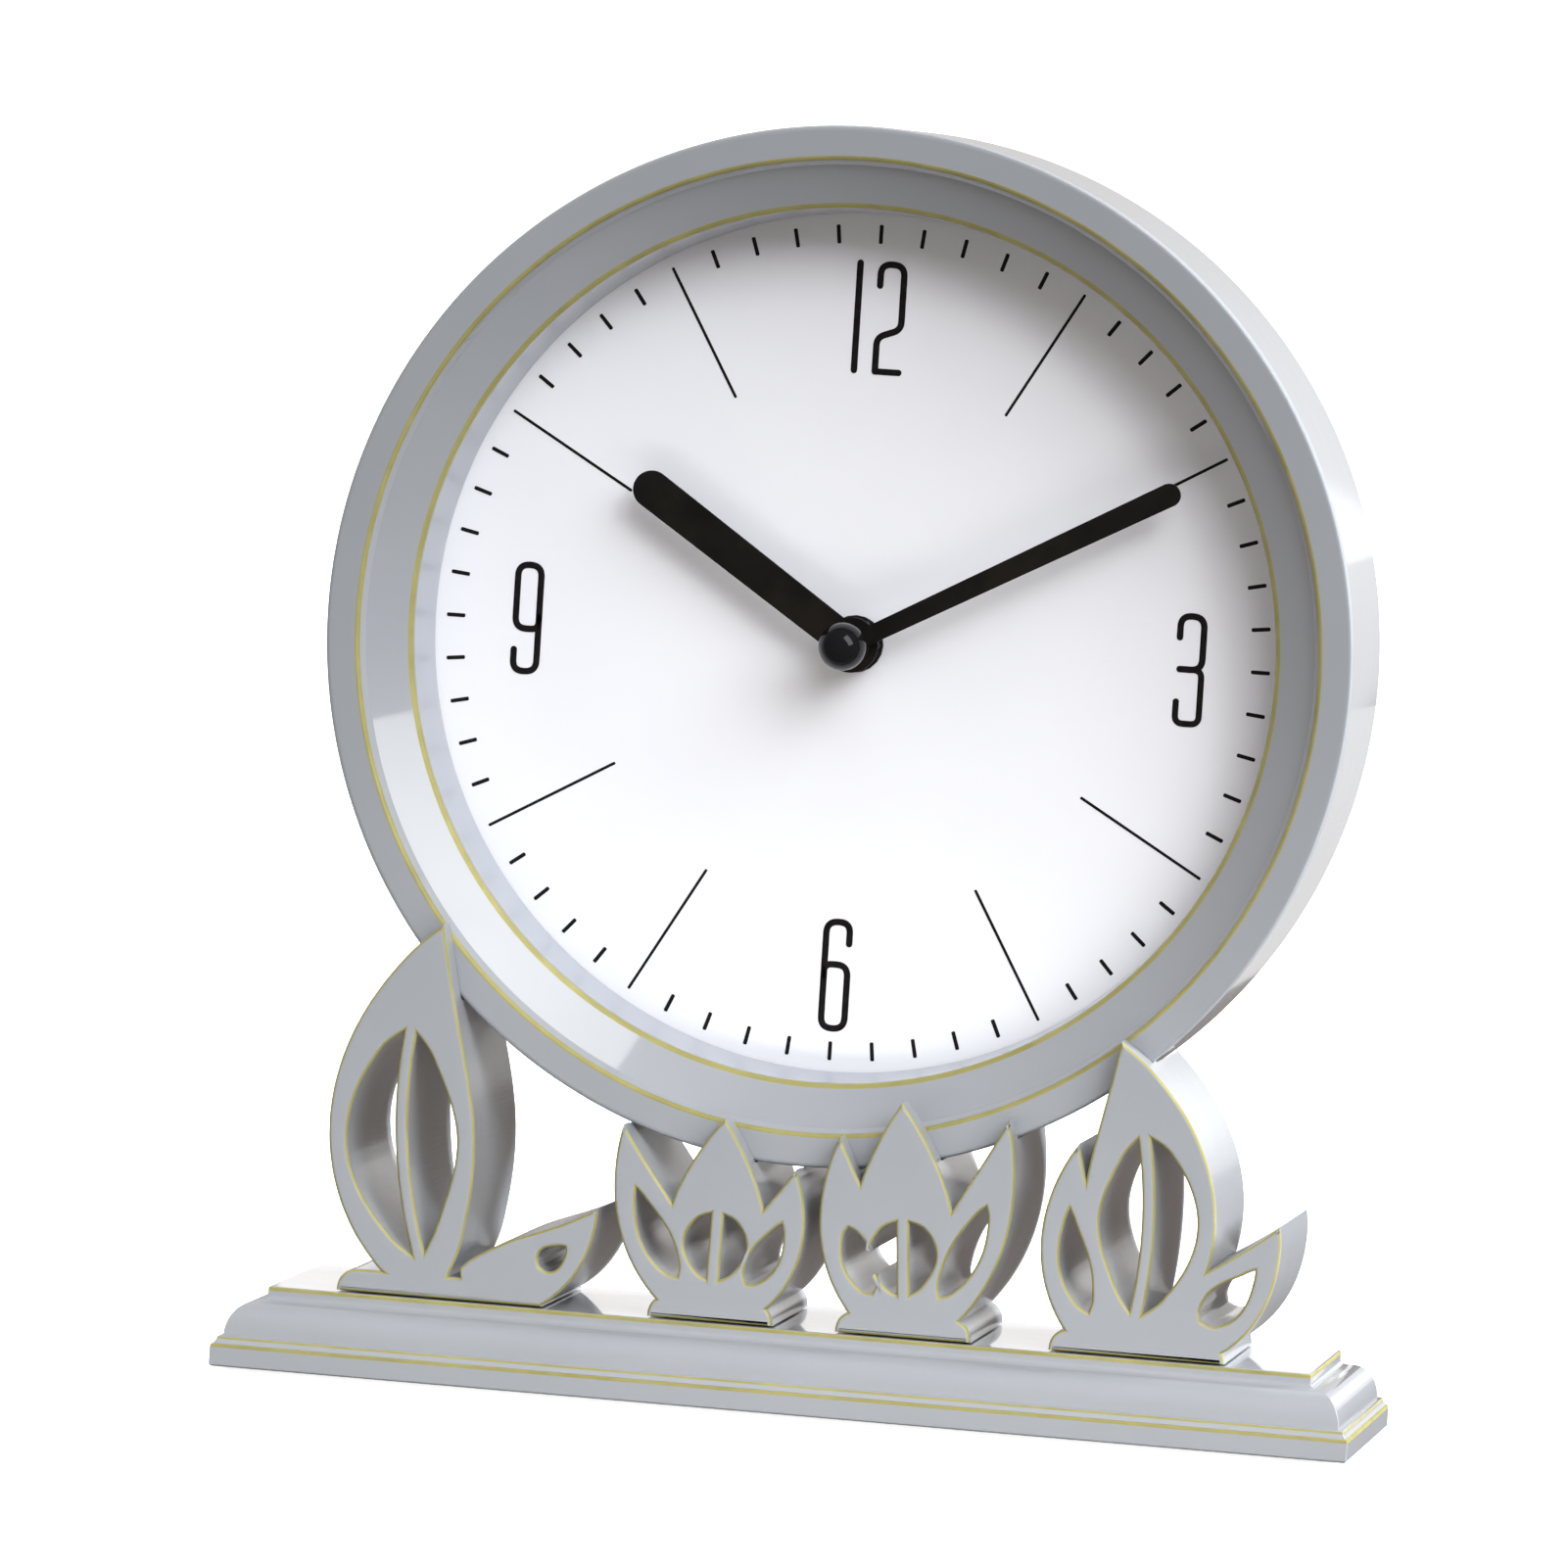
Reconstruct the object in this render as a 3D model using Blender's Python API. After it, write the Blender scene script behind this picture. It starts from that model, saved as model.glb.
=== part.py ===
"""Table clock: a round drum with a recessed dial, carried by four openwork leaf supports on a moulded plinth.

Units are metres, +Z is up, and the clock faces -Y.
The origin lies on the ground under the middle of the plinth.
"""

import math

import bmesh
import bpy
from mathutils import Vector

MM = 0.001
DEG = math.radians(1)

# Clearances
SEAT = 0.3 * MM            # gap between pieces that rest on or screw to each other
RUNNING = 0.1 * MM         # radial gap of a shaft in its bore
FREE = 0.5 * MM            # least gap between a turning piece and its neighbours
WELD = 0.002 * MM          # points this close are one
FLAT = 0.05 * DEG          # faces this level with each other are one

# Plinth
PLATFORM_LENGTH = 216 * MM
PLATFORM_DEPTH = 46 * MM
PLATFORM_EDGE = 2.6 * MM
FILLET_HEIGHT = 1.7 * MM
FILLET_REACH = 2.0 * MM
QUARTER_ROUND = 5.2 * MM
QUARTER_STEPS = 6
STEP_HEIGHT = 1.3 * MM
STEP_REACH = 1.1 * MM
SLAB_REACH = 1.1 * MM
SLAB_HEIGHT = 5.4 * MM
PLINTH_WALL = 2.6 * MM
BASE_PLATE_THICKNESS = 3.6 * MM
BASE_PLATE_RECESS = 0.6 * MM
COUNTERBORE = 2.4 * MM
FOOT_RADIUS = 5.0 * MM
FOOT_PROUD = 0.8 * MM
FOOT_POCKET = 0.8 * MM
FOOT_INSET = 11 * MM

# Drum
DRUM_RADIUS = 106 * MM
DRUM_DEPTH = 47 * MM
DRUM_LIFT = 32.6 * MM      # platform top to the lowest point of the drum
DRUM_SETBACK = 7.5 * MM    # front edge of the platform to the drum's front rim
DRUM_WALL = 2.5 * MM
DRUM_DRAFT = 0.5 * MM
RIM_ROUND = 0.7 * MM
OUTER_RING_WIDTH = 6.8 * MM
RING_STEP = 1.3 * MM
INNER_RING_WIDTH = 9.4 * MM
INNER_RING_SLOPE = 3.6 * MM
DIAL_RECESS = 24 * MM
WELL_DRAFT = 0.8 * MM
FLANGE_WIDTH = 7.1 * MM
FLANGE_THICKNESS = 2 * MM
DRUM_STEPS = 72

# Dial, rear cover and the screws of the drum
DIAL_THICKNESS = 1.5 * MM
DIAL_SCREW_INSET = 4.2 * MM
DIAL_SCREWS = 4
DIAL_SCREW_TURN = 45 * DEG
COVER_THICKNESS = 2 * MM
COVER_RECESS = 2.5 * MM
COVER_SCREWS = 4
COVER_SCREW_INSET = 6.2 * MM
COVER_SCREW_TURN = 0 * DEG
COVER_WINDOW_MARGIN = 1.0 * MM
COVER_RIB = 1.6 * MM
BOSS_WALL = 2.3 * MM
SCREW_RADIUS = 1.5 * MM
SCREW_HEAD_RADIUS = 2.9 * MM
SCREW_HEAD_HEIGHT = 1.7 * MM
SCREW_LENGTH = 8 * MM
SUPPORT_SCREW_LENGTH = 10 * MM
SCREW_STEPS = 10

# Supports
SUPPORT_DEPTH = 41 * MM
SUPPORT_SETBACK = 0.9 * MM
FOOT_PAD_HEIGHT = 4.6 * MM
LEAF_RIM = 3.9 * MM
LEAF_RIB = 2.8 * MM
LEAF_NECK = 8.5 * MM
LEAF_POINTS = 14
SEAT_MARGIN = 11 * MM      # solid left around the drum screws
PART = PLATFORM_LENGTH / 216    # the sprigs are drawn in parts of the platform's length

# Movement
MOVEMENT_SIZE = 56 * MM
MOVEMENT_DEPTH = 15.5 * MM
MOVEMENT_WALL = 1.2 * MM
MOVEMENT_CORNER = 2.5 * MM
MOVEMENT_COVER = 1.4 * MM
KNOB_RADIUS = 5.5 * MM
KNOB_RIB = 0.5 * MM
KNOB_RIBS = 20
RUBBER_WASHER = 0.8 * MM
BRASS_WASHER = 0.6 * MM
RUBBER_WASHER_RADIUS = 8.5 * MM
BRASS_WASHER_RADIUS = 5.9 * MM
NUT_THICKNESS = 2 * MM
NUT_FLATS = 9.6 * MM
BUSH_RADIUS = 4 * MM
BUSH_PROUD = 0.4 * MM
BUSH_FLANGE_RADIUS = 6 * MM
BUSH_FLANGE = 0.8 * MM
MINUTE_ARBOR_RADIUS = 1.6 * MM
MINUTE_TIP_RADIUS = 1.2 * MM
HOUR_PIPE_WALL = 0.8 * MM
ARBOR_RADIUS = 0.5 * MM
KNOB_ARBOR_RADIUS = 1.0 * MM
PIVOT_DEPTH = 0.8 * MM
PIVOT_BOSS_WALL = 0.9 * MM
WHEEL_THICKNESS = 0.8 * MM
PINION_LENGTH = 1.3 * MM
LAYER_GAP = 0.4 * MM
ROUND_STEPS = 20
BOSS_STEPS = 16
ARBOR_STEPS = 12
BALL_STEPS = 10

# Gear teeth and modules
ADDENDUM = 0.75            # tooth height beyond the pitch circle, in modules
DEDENDUM = 1.1             # tooth depth inside the pitch circle, in modules
LARGEST_PINION = 12
PINION_ROOT = 0.27         # half a tooth's width at its root, as a share of the pitch
PINION_TIP = 0.1           # half a tooth's width at its tip, as a share of the pitch
WHEEL_ROOT = 0.36          # the same at the root of a wheel's pointed tooth
CANNON_TEETH = 12
MOTION_TEETH = 36
MOTION_PINION_TEETH = 10
HOUR_TEETH = 40
KNOB_TEETH = 12
CENTRE_TEETH = 64
THIRD_PINION_TEETH = 8
THIRD_TEETH = 60
SECOND_PINION_TEETH = 8
SECOND_TEETH = 50
INTERMEDIATE_PINION_TEETH = 10
INTERMEDIATE_TEETH = 60
ROTOR_TEETH = 10
MOTION_ANGLE = 200 * DEG
KNOB_ANGLE = 170 * DEG
THIRD_ANGLE = 60 * DEG
INTERMEDIATE_ANGLE = 150 * DEG
ROTOR_ANGLE = 160 * DEG

# Hands
HOUR_HAND_LENGTH = 56 * MM
HOUR_HAND_WIDTH = 7.8 * MM
MINUTE_HAND_LENGTH = 75.5 * MM
MINUTE_HAND_WIDTH = 3.6 * MM
MINUTE_HAND_TIP_WIDTH = 4.8 * MM
HAND_THICKNESS = 0.8 * MM
HOUR_HUB_RADIUS = 5.7 * MM
MINUTE_HUB_RADIUS = 4.2 * MM
HAND_GAP = 1.8 * MM
CAP_RADIUS = 4.9 * MM
CAP_COLLAR = 1.9 * MM
CAP_COLLAR_RADIUS = 2.6 * MM
HOUR_HAND_ANGLE = 301.5 * DEG
MINUTE_HAND_ANGLE = 60 * DEG

# Electrics
CELL_RADIUS = 7.05 * MM
CELL_NUB = 1.3 * MM
CELL_NUB_RADIUS = 2.7 * MM
CONTACT_THICKNESS = 0.4 * MM
CONTACT_ROOM = 1.55 * MM   # from the case wall to the cell's end
CONTACT_SHARE = 0.6        # a contact's reach, as a share of the cell's radius
MAGNET_LENGTH = 2.6 * MM
STATOR_THICKNESS = 1.2 * MM
COIL_FLANGE = 0.8 * MM
BOARD_THICKNESS = 0.8 * MM
CRYSTAL_RADIUS = 1.0 * MM
CRYSTAL_LENGTH = 6 * MM

# What shares the train's room is as large as the room allows
TRAIN_ROOM = MOVEMENT_SIZE - 3 * MOVEMENT_WALL - 2 * CELL_RADIUS - FREE
CELL_LENGTH = MOVEMENT_SIZE - 2 * (MOVEMENT_WALL + CONTACT_ROOM) - CELL_NUB
MOTION_MODULE = TRAIN_ROOM / 94.5     # the train's room is 94.5 modules high
THIRD_MODULE = 0.75 * MOTION_MODULE
SECOND_MODULE = 0.85 * MOTION_MODULE
ROTOR_MODULE = 0.55 * MOTION_MODULE
MAGNET_RADIUS = 7 * MOTION_MODULE
STATOR_LOBE = 12.5 * MOTION_MODULE
STATOR_LEG = 10 * MOTION_MODULE
COIL_RADIUS = 9 * MOTION_MODULE
COIL_LENGTH = 37.5 * MOTION_MODULE
BOARD_WIDTH = 26.5 * MOTION_MODULE

# Levels that follow from the sizes
MOULDING_HEIGHT = PLATFORM_EDGE + FILLET_HEIGHT + QUARTER_ROUND + STEP_HEIGHT
MOULDING_REACH = FILLET_REACH + QUARTER_ROUND + STEP_REACH + SLAB_REACH
PLATFORM_TOP = FOOT_PROUD + SLAB_HEIGHT + MOULDING_HEIGHT
DRUM_Z = PLATFORM_TOP + DRUM_LIFT + DRUM_RADIUS
DRUM_FRONT = DRUM_SETBACK - PLATFORM_DEPTH / 2
DRUM_BACK = DRUM_FRONT + DRUM_DEPTH
DIAL_FRONT = DRUM_FRONT + DIAL_RECESS
DIAL_BACK = DIAL_FRONT + DIAL_THICKNESS
MOVEMENT_FRONT = DIAL_BACK + SEAT + RUBBER_WASHER + SEAT
MOVEMENT_BACK = MOVEMENT_FRONT + MOVEMENT_DEPTH
ROOM_FRONT = MOVEMENT_FRONT + MOVEMENT_WALL
ROOM_BACK = MOVEMENT_BACK - MOVEMENT_COVER
SUPPORT_FRONT = SUPPORT_SETBACK - PLATFORM_DEPTH / 2
SUPPORT_BACK = SUPPORT_FRONT + SUPPORT_DEPTH
WELL_RADIUS = DRUM_RADIUS - OUTER_RING_WIDTH - INNER_RING_WIDTH - RIM_ROUND
FLANGE_RADIUS = WELL_RADIUS + FLANGE_WIDTH
DIAL_RADIUS = FLANGE_RADIUS - 2 * SEAT
COVER_FACE = DRUM_BACK - COVER_RECESS
COVER_INNER_FACE = COVER_FACE - COVER_THICKNESS
DRUM_BORE = DRUM_RADIUS - DRUM_DRAFT - DRUM_WALL


def clear_scene():
    for thing in list(bpy.data.objects):
        bpy.data.objects.remove(thing, do_unlink=True)


def material(name, colour, roughness, metallic=0.0):
    made = bpy.data.materials.get(name) or bpy.data.materials.new(name)
    made.use_nodes = True
    shader = made.node_tree.nodes["Principled BSDF"]
    shader.inputs["Base Color"].default_value = (*colour, 1)
    shader.inputs["Roughness"].default_value = roughness
    shader.inputs["Metallic"].default_value = metallic
    return made


def lacquer():
    return material("grey_lacquer", (0.42, 0.45, 0.51), 0.35)


def dial_paper():
    return material("white_dial", (0.86, 0.86, 0.9), 0.6)


def hand_black():
    return material("hand_black", (0.012, 0.012, 0.013), 0.45)


def gloss_black():
    return material("gloss_black", (0.01, 0.01, 0.011), 0.12)


def black_plastic():
    return material("black_plastic", (0.03, 0.03, 0.032), 0.5)


def white_plastic():
    return material("white_plastic", (0.82, 0.81, 0.77), 0.45)


def brass():
    return material("brass", (0.78, 0.6, 0.28), 0.3, 1.0)


def steel():
    return material("steel", (0.62, 0.62, 0.64), 0.3, 1.0)


def rubber():
    return material("rubber", (0.05, 0.05, 0.05), 0.8)


def copper():
    return material("copper", (0.75, 0.36, 0.2), 0.35, 1.0)


def board_green():
    return material("board_green", (0.05, 0.22, 0.1), 0.5)


def cell_wrap():
    return material("cell_wrap", (0.1, 0.12, 0.16), 0.4)


def make_object(name, form, finish, place=(0, 0, 0)):
    """Turn a bmesh into a named object with its faces pointing out."""
    bmesh.ops.remove_doubles(form, verts=form.verts, dist=1e-7)
    bmesh.ops.recalc_face_normals(form, faces=form.faces)
    mesh = bpy.data.meshes.new(name)
    form.to_mesh(mesh)
    form.free()
    mesh.shade_smooth()
    mesh.set_sharp_from_angle(angle=35 * DEG)
    mesh.materials.append(finish)
    made = bpy.data.objects.new(name, mesh)
    made.location = place
    bpy.context.scene.collection.objects.link(made)
    return made


def combine(target, tool, operation):
    """Cut a tool from the target, or join it, and remove the tool."""
    modifier = target.modifiers.new(operation.lower(), "BOOLEAN")
    modifier.operation = operation
    modifier.solver = "EXACT"
    modifier.object = tool
    bpy.context.view_layer.update()
    graph = bpy.context.evaluated_depsgraph_get()
    result = bpy.data.meshes.new_from_object(target.evaluated_get(graph))
    form = bmesh.new()
    form.from_mesh(result)
    bmesh.ops.remove_doubles(form, verts=form.verts, dist=WELD)
    bmesh.ops.dissolve_limit(form, angle_limit=FLAT, verts=form.verts, edges=form.edges)
    form.to_mesh(result)
    form.free()
    old = target.data
    target.modifiers.clear()
    target.data = result
    result.name = target.name
    bpy.data.meshes.remove(old)
    bpy.data.objects.remove(tool, do_unlink=True)


def cut(target, tool):
    combine(target, tool, "DIFFERENCE")


def join(target, tool):
    combine(target, tool, "UNION")


def circle(radius, steps=ROUND_STEPS, centre=(0, 0), turn=0.0):
    points = []
    for i in range(steps):
        angle = turn + 2 * math.pi * i / steps
        points.append((centre[0] + radius * math.cos(angle), centre[1] + radius * math.sin(angle)))
    return points


def rounded_box(low, high, radius, steps=4):
    """Outline of a rectangle with round corners, counter-clockwise."""
    corners = (
        (high[0] - radius, high[1] - radius, 0),
        (low[0] + radius, high[1] - radius, 90),
        (low[0] + radius, low[1] + radius, 180),
        (high[0] - radius, low[1] + radius, 270),
    )
    points = []
    for x, z, start in corners:
        for i in range(steps + 1):
            angle = (start + 90 * i / steps) * DEG
            points.append((x + radius * math.cos(angle), z + radius * math.sin(angle)))
    return points


def ring_of_verts(form, outline, y):
    return [form.verts.new((x, y, z)) for x, z in outline]


def fill_between(form, *rings):
    """Fill the flat area inside the first ring and outside the others."""
    edges = []
    for ring in rings:
        for i, vert in enumerate(ring):
            pair = (ring[i - 1], vert)
            edges.append(form.edges.get(pair) or form.edges.new(pair))
    bmesh.ops.triangle_fill(form, edges=edges, use_beauty=True)


def wall_between(form, first, second):
    for i in range(len(first)):
        form.faces.new((first[i - 1], first[i], second[i], second[i - 1]))


def plate(name, outlines, front, back, finish, place=(0, 0, 0)):
    """A flat piece across Y: the first outline is its edge, the others are holes."""
    form = bmesh.new()
    front_rings = [ring_of_verts(form, outline, front) for outline in outlines]
    back_rings = [ring_of_verts(form, outline, back) for outline in outlines]
    for first, second in zip(front_rings, back_rings):
        wall_between(form, first, second)
    fill_between(form, *front_rings)
    fill_between(form, *back_rings)
    return make_object(name, form, finish, place)


def stacked(name, sections, finish, place=(0, 0, 0), bore=None):
    """Coaxial sections (outline, start, end) along Y, as one solid, with an optional bore."""
    form = bmesh.new()
    starts = [ring_of_verts(form, outline, start) for outline, start, end in sections]
    ends = [ring_of_verts(form, outline, end) for outline, start, end in sections]
    for first, second in zip(starts, ends):
        wall_between(form, first, second)
    for end, start in zip(ends, starts[1:]):
        inner, outer = sorted((end, start), key=lambda ring: max(v.co.x ** 2 + v.co.z ** 2 for v in ring))
        fill_between(form, outer, inner)
    caps = [[starts[0]], [ends[-1]]]
    if bore:
        hole_start = ring_of_verts(form, bore, sections[0][1])
        hole_end = ring_of_verts(form, bore, sections[-1][2])
        wall_between(form, hole_start, hole_end)
        caps[0].append(hole_start)
        caps[1].append(hole_end)
    for cap in caps:
        fill_between(form, *cap)
    return make_object(name, form, finish, place)


def turned(name, profile, finish, place=(0, 0, 0), steps=ROUND_STEPS):
    """Turn a profile of (radius, y) points about the Y axis."""
    form = bmesh.new()
    verts = [form.verts.new((radius, y, 0)) for radius, y in profile]
    pairs = list(zip(verts, verts[1:]))
    if profile[0][0] > 0:
        pairs.append((verts[-1], verts[0]))
    edges = [form.edges.new(pair) for pair in pairs]
    bmesh.ops.spin(form, geom=verts + edges, cent=(0, 0, 0), axis=(0, 1, 0),
                   angle=2 * math.pi, steps=steps, use_merge=True)
    return make_object(name, form, finish, place)


def block(name, low, high, finish, place=(0, 0, 0)):
    outline = [(low[0], low[2]), (high[0], low[2]), (high[0], high[2]), (low[0], high[2])]
    return plate(name, [outline], low[1], high[1], finish, place)


def around(count, radius, start=0.0):
    """Places (x, z, angle) on a circle, the first at the start angle."""
    places = []
    for i in range(count):
        angle = start + 2 * math.pi * i / count
        places.append((radius * math.cos(angle), radius * math.sin(angle), angle))
    return places


def screw(name, head_y, length, place=(0, 0, 0)):
    """A pan-head screw whose shank points to -Y from its head."""
    profile = [
        (0, head_y + SCREW_HEAD_HEIGHT),
        (0.7 * SCREW_HEAD_RADIUS, head_y + SCREW_HEAD_HEIGHT),
        (SCREW_HEAD_RADIUS, head_y),
        (SCREW_RADIUS, head_y),
        (SCREW_RADIUS, head_y - length + SCREW_RADIUS),
        (0, head_y - length),
    ]
    return turned(name, profile, steel(), place, SCREW_STEPS)


# The plinth

def plinth_levels():
    """Offsets (reach beyond the platform, height) of the moulding, from the top down."""
    top = PLATFORM_TOP
    levels = [(0.0, top), (0.0, top - PLATFORM_EDGE)]
    under = top - PLATFORM_EDGE
    for i in range(1, 4):
        angle = 90 * DEG * i / 3
        levels.append((FILLET_REACH * (1 - math.cos(angle)), under - FILLET_HEIGHT * math.sin(angle)))
    shoulder = under - FILLET_HEIGHT
    for i in range(1, QUARTER_STEPS + 1):
        angle = 90 * DEG * i / QUARTER_STEPS
        reach = FILLET_REACH + QUARTER_ROUND * math.sin(angle)
        levels.append((reach, shoulder - QUARTER_ROUND * (1 - math.cos(angle))))
    step = shoulder - QUARTER_ROUND
    reach = FILLET_REACH + QUARTER_ROUND + STEP_REACH
    levels.append((reach, step))
    levels.append((reach, step - STEP_HEIGHT))
    levels.append((reach + SLAB_REACH, step - STEP_HEIGHT))
    levels.append((reach + SLAB_REACH, FOOT_PROUD))
    return levels


def rectangle_ring(form, reach, z):
    x = PLATFORM_LENGTH / 2 + reach
    y = PLATFORM_DEPTH / 2 + reach
    return [form.verts.new(corner) for corner in ((-x, -y, z), (x, -y, z), (x, y, z), (-x, y, z))]


def lofted(name, levels, finish):
    """A solid through rectangles of given reach and height."""
    form = bmesh.new()
    rings = [rectangle_ring(form, reach, z) for reach, z in levels]
    for first, second in zip(rings, rings[1:]):
        wall_between(form, first, second)
    form.faces.new(rings[0])
    form.faces.new(rings[-1])
    return make_object(name, form, finish)


def plate_screw_places():
    x = PLATFORM_LENGTH / 2 - 2 * PLINTH_WALL - SCREW_RADIUS - BOSS_WALL
    return [(-x, 0), (0, 0), (x, 0)]


def upright_post(name, x, y, low, high, radius, finish, steps=ROUND_STEPS):
    post = turned(name, [(0, low), (radius, low), (radius, high), (0, high)], finish, steps=steps)
    post.rotation_euler = (90 * DEG, 0, 0)
    post.location = (x, y, 0)
    return post


def make_plinth():
    plinth = lofted("plinth", plinth_levels(), lacquer())
    ceiling = PLATFORM_TOP - PLINTH_WALL
    floor = FOOT_PROUD - SEAT
    plate_top = FOOT_PROUD + BASE_PLATE_RECESS + BASE_PLATE_THICKNESS
    room = [
        (-PLINTH_WALL, ceiling),
        (-PLINTH_WALL, PLATFORM_TOP - PLATFORM_EDGE - FILLET_HEIGHT - PLINTH_WALL / 2),
        (MOULDING_REACH - PLINTH_WALL, plate_top + SEAT),
        (MOULDING_REACH - PLINTH_WALL, floor),
    ]
    cut(plinth, lofted("plinth_room", room, lacquer()))
    for x, y in plate_screw_places():
        radius = SCREW_RADIUS + BOSS_WALL
        join(plinth, upright_post("boss", x, y, plate_top + SEAT, ceiling + SEAT, radius, lacquer()))
        bore = SCREW_RADIUS + RUNNING
        hole_top = plate_top + SCREW_LENGTH
        cut(plinth, upright_post("hole", x, y, plate_top, hole_top, bore, lacquer(), SCREW_STEPS))
    for support in SUPPORTS:
        x, y = support_screw_place(support)
        bore = SCREW_RADIUS + SEAT
        hole_top = PLATFORM_TOP + SEAT
        cut(plinth, upright_post("hole", x, y, ceiling - SEAT, hole_top, bore, lacquer(), SCREW_STEPS))


def upward(piece, x, y):
    """Stand a piece that is modelled along Y on end, its -Y end up."""
    piece.rotation_euler = (-90 * DEG, 0, 0)
    piece.location = (x, y, 0)
    return piece


def make_base_plate():
    reach = MOULDING_REACH - PLINTH_WALL - SEAT
    bottom = FOOT_PROUD + BASE_PLATE_RECESS
    top = bottom + BASE_PLATE_THICKNESS
    base = lofted("base_plate", [(reach, top), (reach, bottom)], black_plastic())
    for x, y in foot_places():
        pocket = FOOT_RADIUS + SEAT
        cut(base, upright_post("pocket", x, y, bottom - SEAT, bottom + FOOT_POCKET, pocket, black_plastic()))
    for x, y in plate_screw_places():
        hole = SCREW_RADIUS + SEAT
        cut(base, upright_post("hole", x, y, bottom - SEAT, top + SEAT, hole, black_plastic(), SCREW_STEPS))
        sink = SCREW_HEAD_RADIUS + SEAT
        cut(base, upright_post("sink", x, y, bottom - SEAT, bottom + COUNTERBORE, sink, black_plastic()))


def foot_places():
    x = PLATFORM_LENGTH / 2 + MOULDING_REACH - FOOT_INSET
    y = PLATFORM_DEPTH / 2 + MOULDING_REACH - FOOT_INSET
    return [(-x, -y), (x, -y), (-x, y), (x, y)]


def make_feet():
    names = ("foot_front_left", "foot_front_right", "foot_rear_left", "foot_rear_right")
    top = FOOT_PROUD + BASE_PLATE_RECESS + FOOT_POCKET - SEAT
    edge = RIM_ROUND
    for name, (x, y) in zip(names, foot_places()):
        profile = [(0, 0), (FOOT_RADIUS - edge, 0), (FOOT_RADIUS, edge), (FOOT_RADIUS, top), (0, top)]
        foot = turned(name, profile, rubber())
        foot.rotation_euler = (90 * DEG, 0, 0)
        foot.location = (x, y, 0)


def make_base_plate_screws():
    """Short screws from below, their heads sunk in the base plate's counterbores."""
    head = FOOT_PROUD + BASE_PLATE_RECESS + COUNTERBORE - SEAT
    for i, (x, y) in enumerate(plate_screw_places()):
        upward(screw(f"base_plate_screw_{i + 1}", -head, SCREW_LENGTH), x, y)


# The supports

class Leaf:
    """One pointed leaf, from its root on the platform to its tip."""

    def __init__(self, root, tip, width, bend):
        self.root = Vector(root)
        self.tip = Vector(tip)
        self.width = width
        self.bend = bend

    def spine(self, t):
        run = self.tip - self.root
        side = Vector((-run.y, run.x)).normalized()
        return self.root + run * t + side * (4 * self.bend * t * (1 - t))

    def side(self, t):
        step = 0.01
        run = self.spine(t + step) - self.spine(t - step)
        return Vector((-run.y, run.x)).normalized()

    def half_width(self, t):
        neck = LEAF_NECK / 2 * (1 - t) ** 3
        return neck + self.width / 2 * math.sin(math.pi * t ** 0.85) ** 0.9

    def outline(self):
        left = []
        right = []
        for i in range(LEAF_POINTS + 1):
            t = i / LEAF_POINTS
            half = self.half_width(t) if i < LEAF_POINTS else 0.0
            left.append(self.spine(t) + self.side(t) * half)
            right.append(self.spine(t) - self.side(t) * half)
        return [tuple(point) for point in right + left[-2::-1]]

    def slots(self, drum_centre):
        """Openings on both sides of the rib, or one opening in a narrow leaf."""
        with_rib = self.width > 4 * LEAF_RIM
        inner = LEAF_RIB / 2 if with_rib else 0.0
        stations = []
        for i in range(1, 4 * LEAF_POINTS):
            t = i / (4 * LEAF_POINTS)
            clear_of_drum = (self.spine(t) - drum_centre).length > DRUM_RADIUS + SEAT_MARGIN
            clear_of_foot = self.spine(t).y > PLATFORM_TOP + FOOT_PAD_HEIGHT + LEAF_RIM
            room = self.half_width(t) - LEAF_RIM - inner
            if clear_of_drum and clear_of_foot and room > LEAF_RIM / 4:
                stations.append(t)
        if not stations:
            return []
        span = [stations[0] + (stations[-1] - stations[0]) * i / LEAF_POINTS for i in range(LEAF_POINTS + 1)]
        shapes = []
        for sign in (1, -1) if with_rib else (1,):
            near = []
            far = []
            for i, t in enumerate(span):
                ease = math.sin(math.pi * i / LEAF_POINTS) ** 0.5
                room = self.half_width(t) - LEAF_RIM - inner
                far_reach = inner + room * ease
                near_reach = inner if with_rib else -far_reach
                far.append(self.spine(t) + self.side(t) * sign * far_reach)
                near.append(self.spine(t) + self.side(t) * sign * near_reach)
            outline = near + far[-2:0:-1]
            shapes.append([tuple(point) for point in outline])
        return shapes


def on_drum(angle_from_bottom, inside):
    """Point at an angle from the drum's lowest point (positive to the right), inside its edge."""
    radius = DRUM_RADIUS - inside
    return (radius * math.sin(angle_from_bottom), DRUM_Z - radius * math.cos(angle_from_bottom))


def on_platform(x):
    return (x, PLATFORM_TOP + SEAT + FOOT_PAD_HEIGHT / 2)


# The one leaf that ends in the open, below the drum's right side
FREE_TIP = (0.94 * DRUM_RADIUS, PLATFORM_TOP + 0.89 * DRUM_LIFT)

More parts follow.
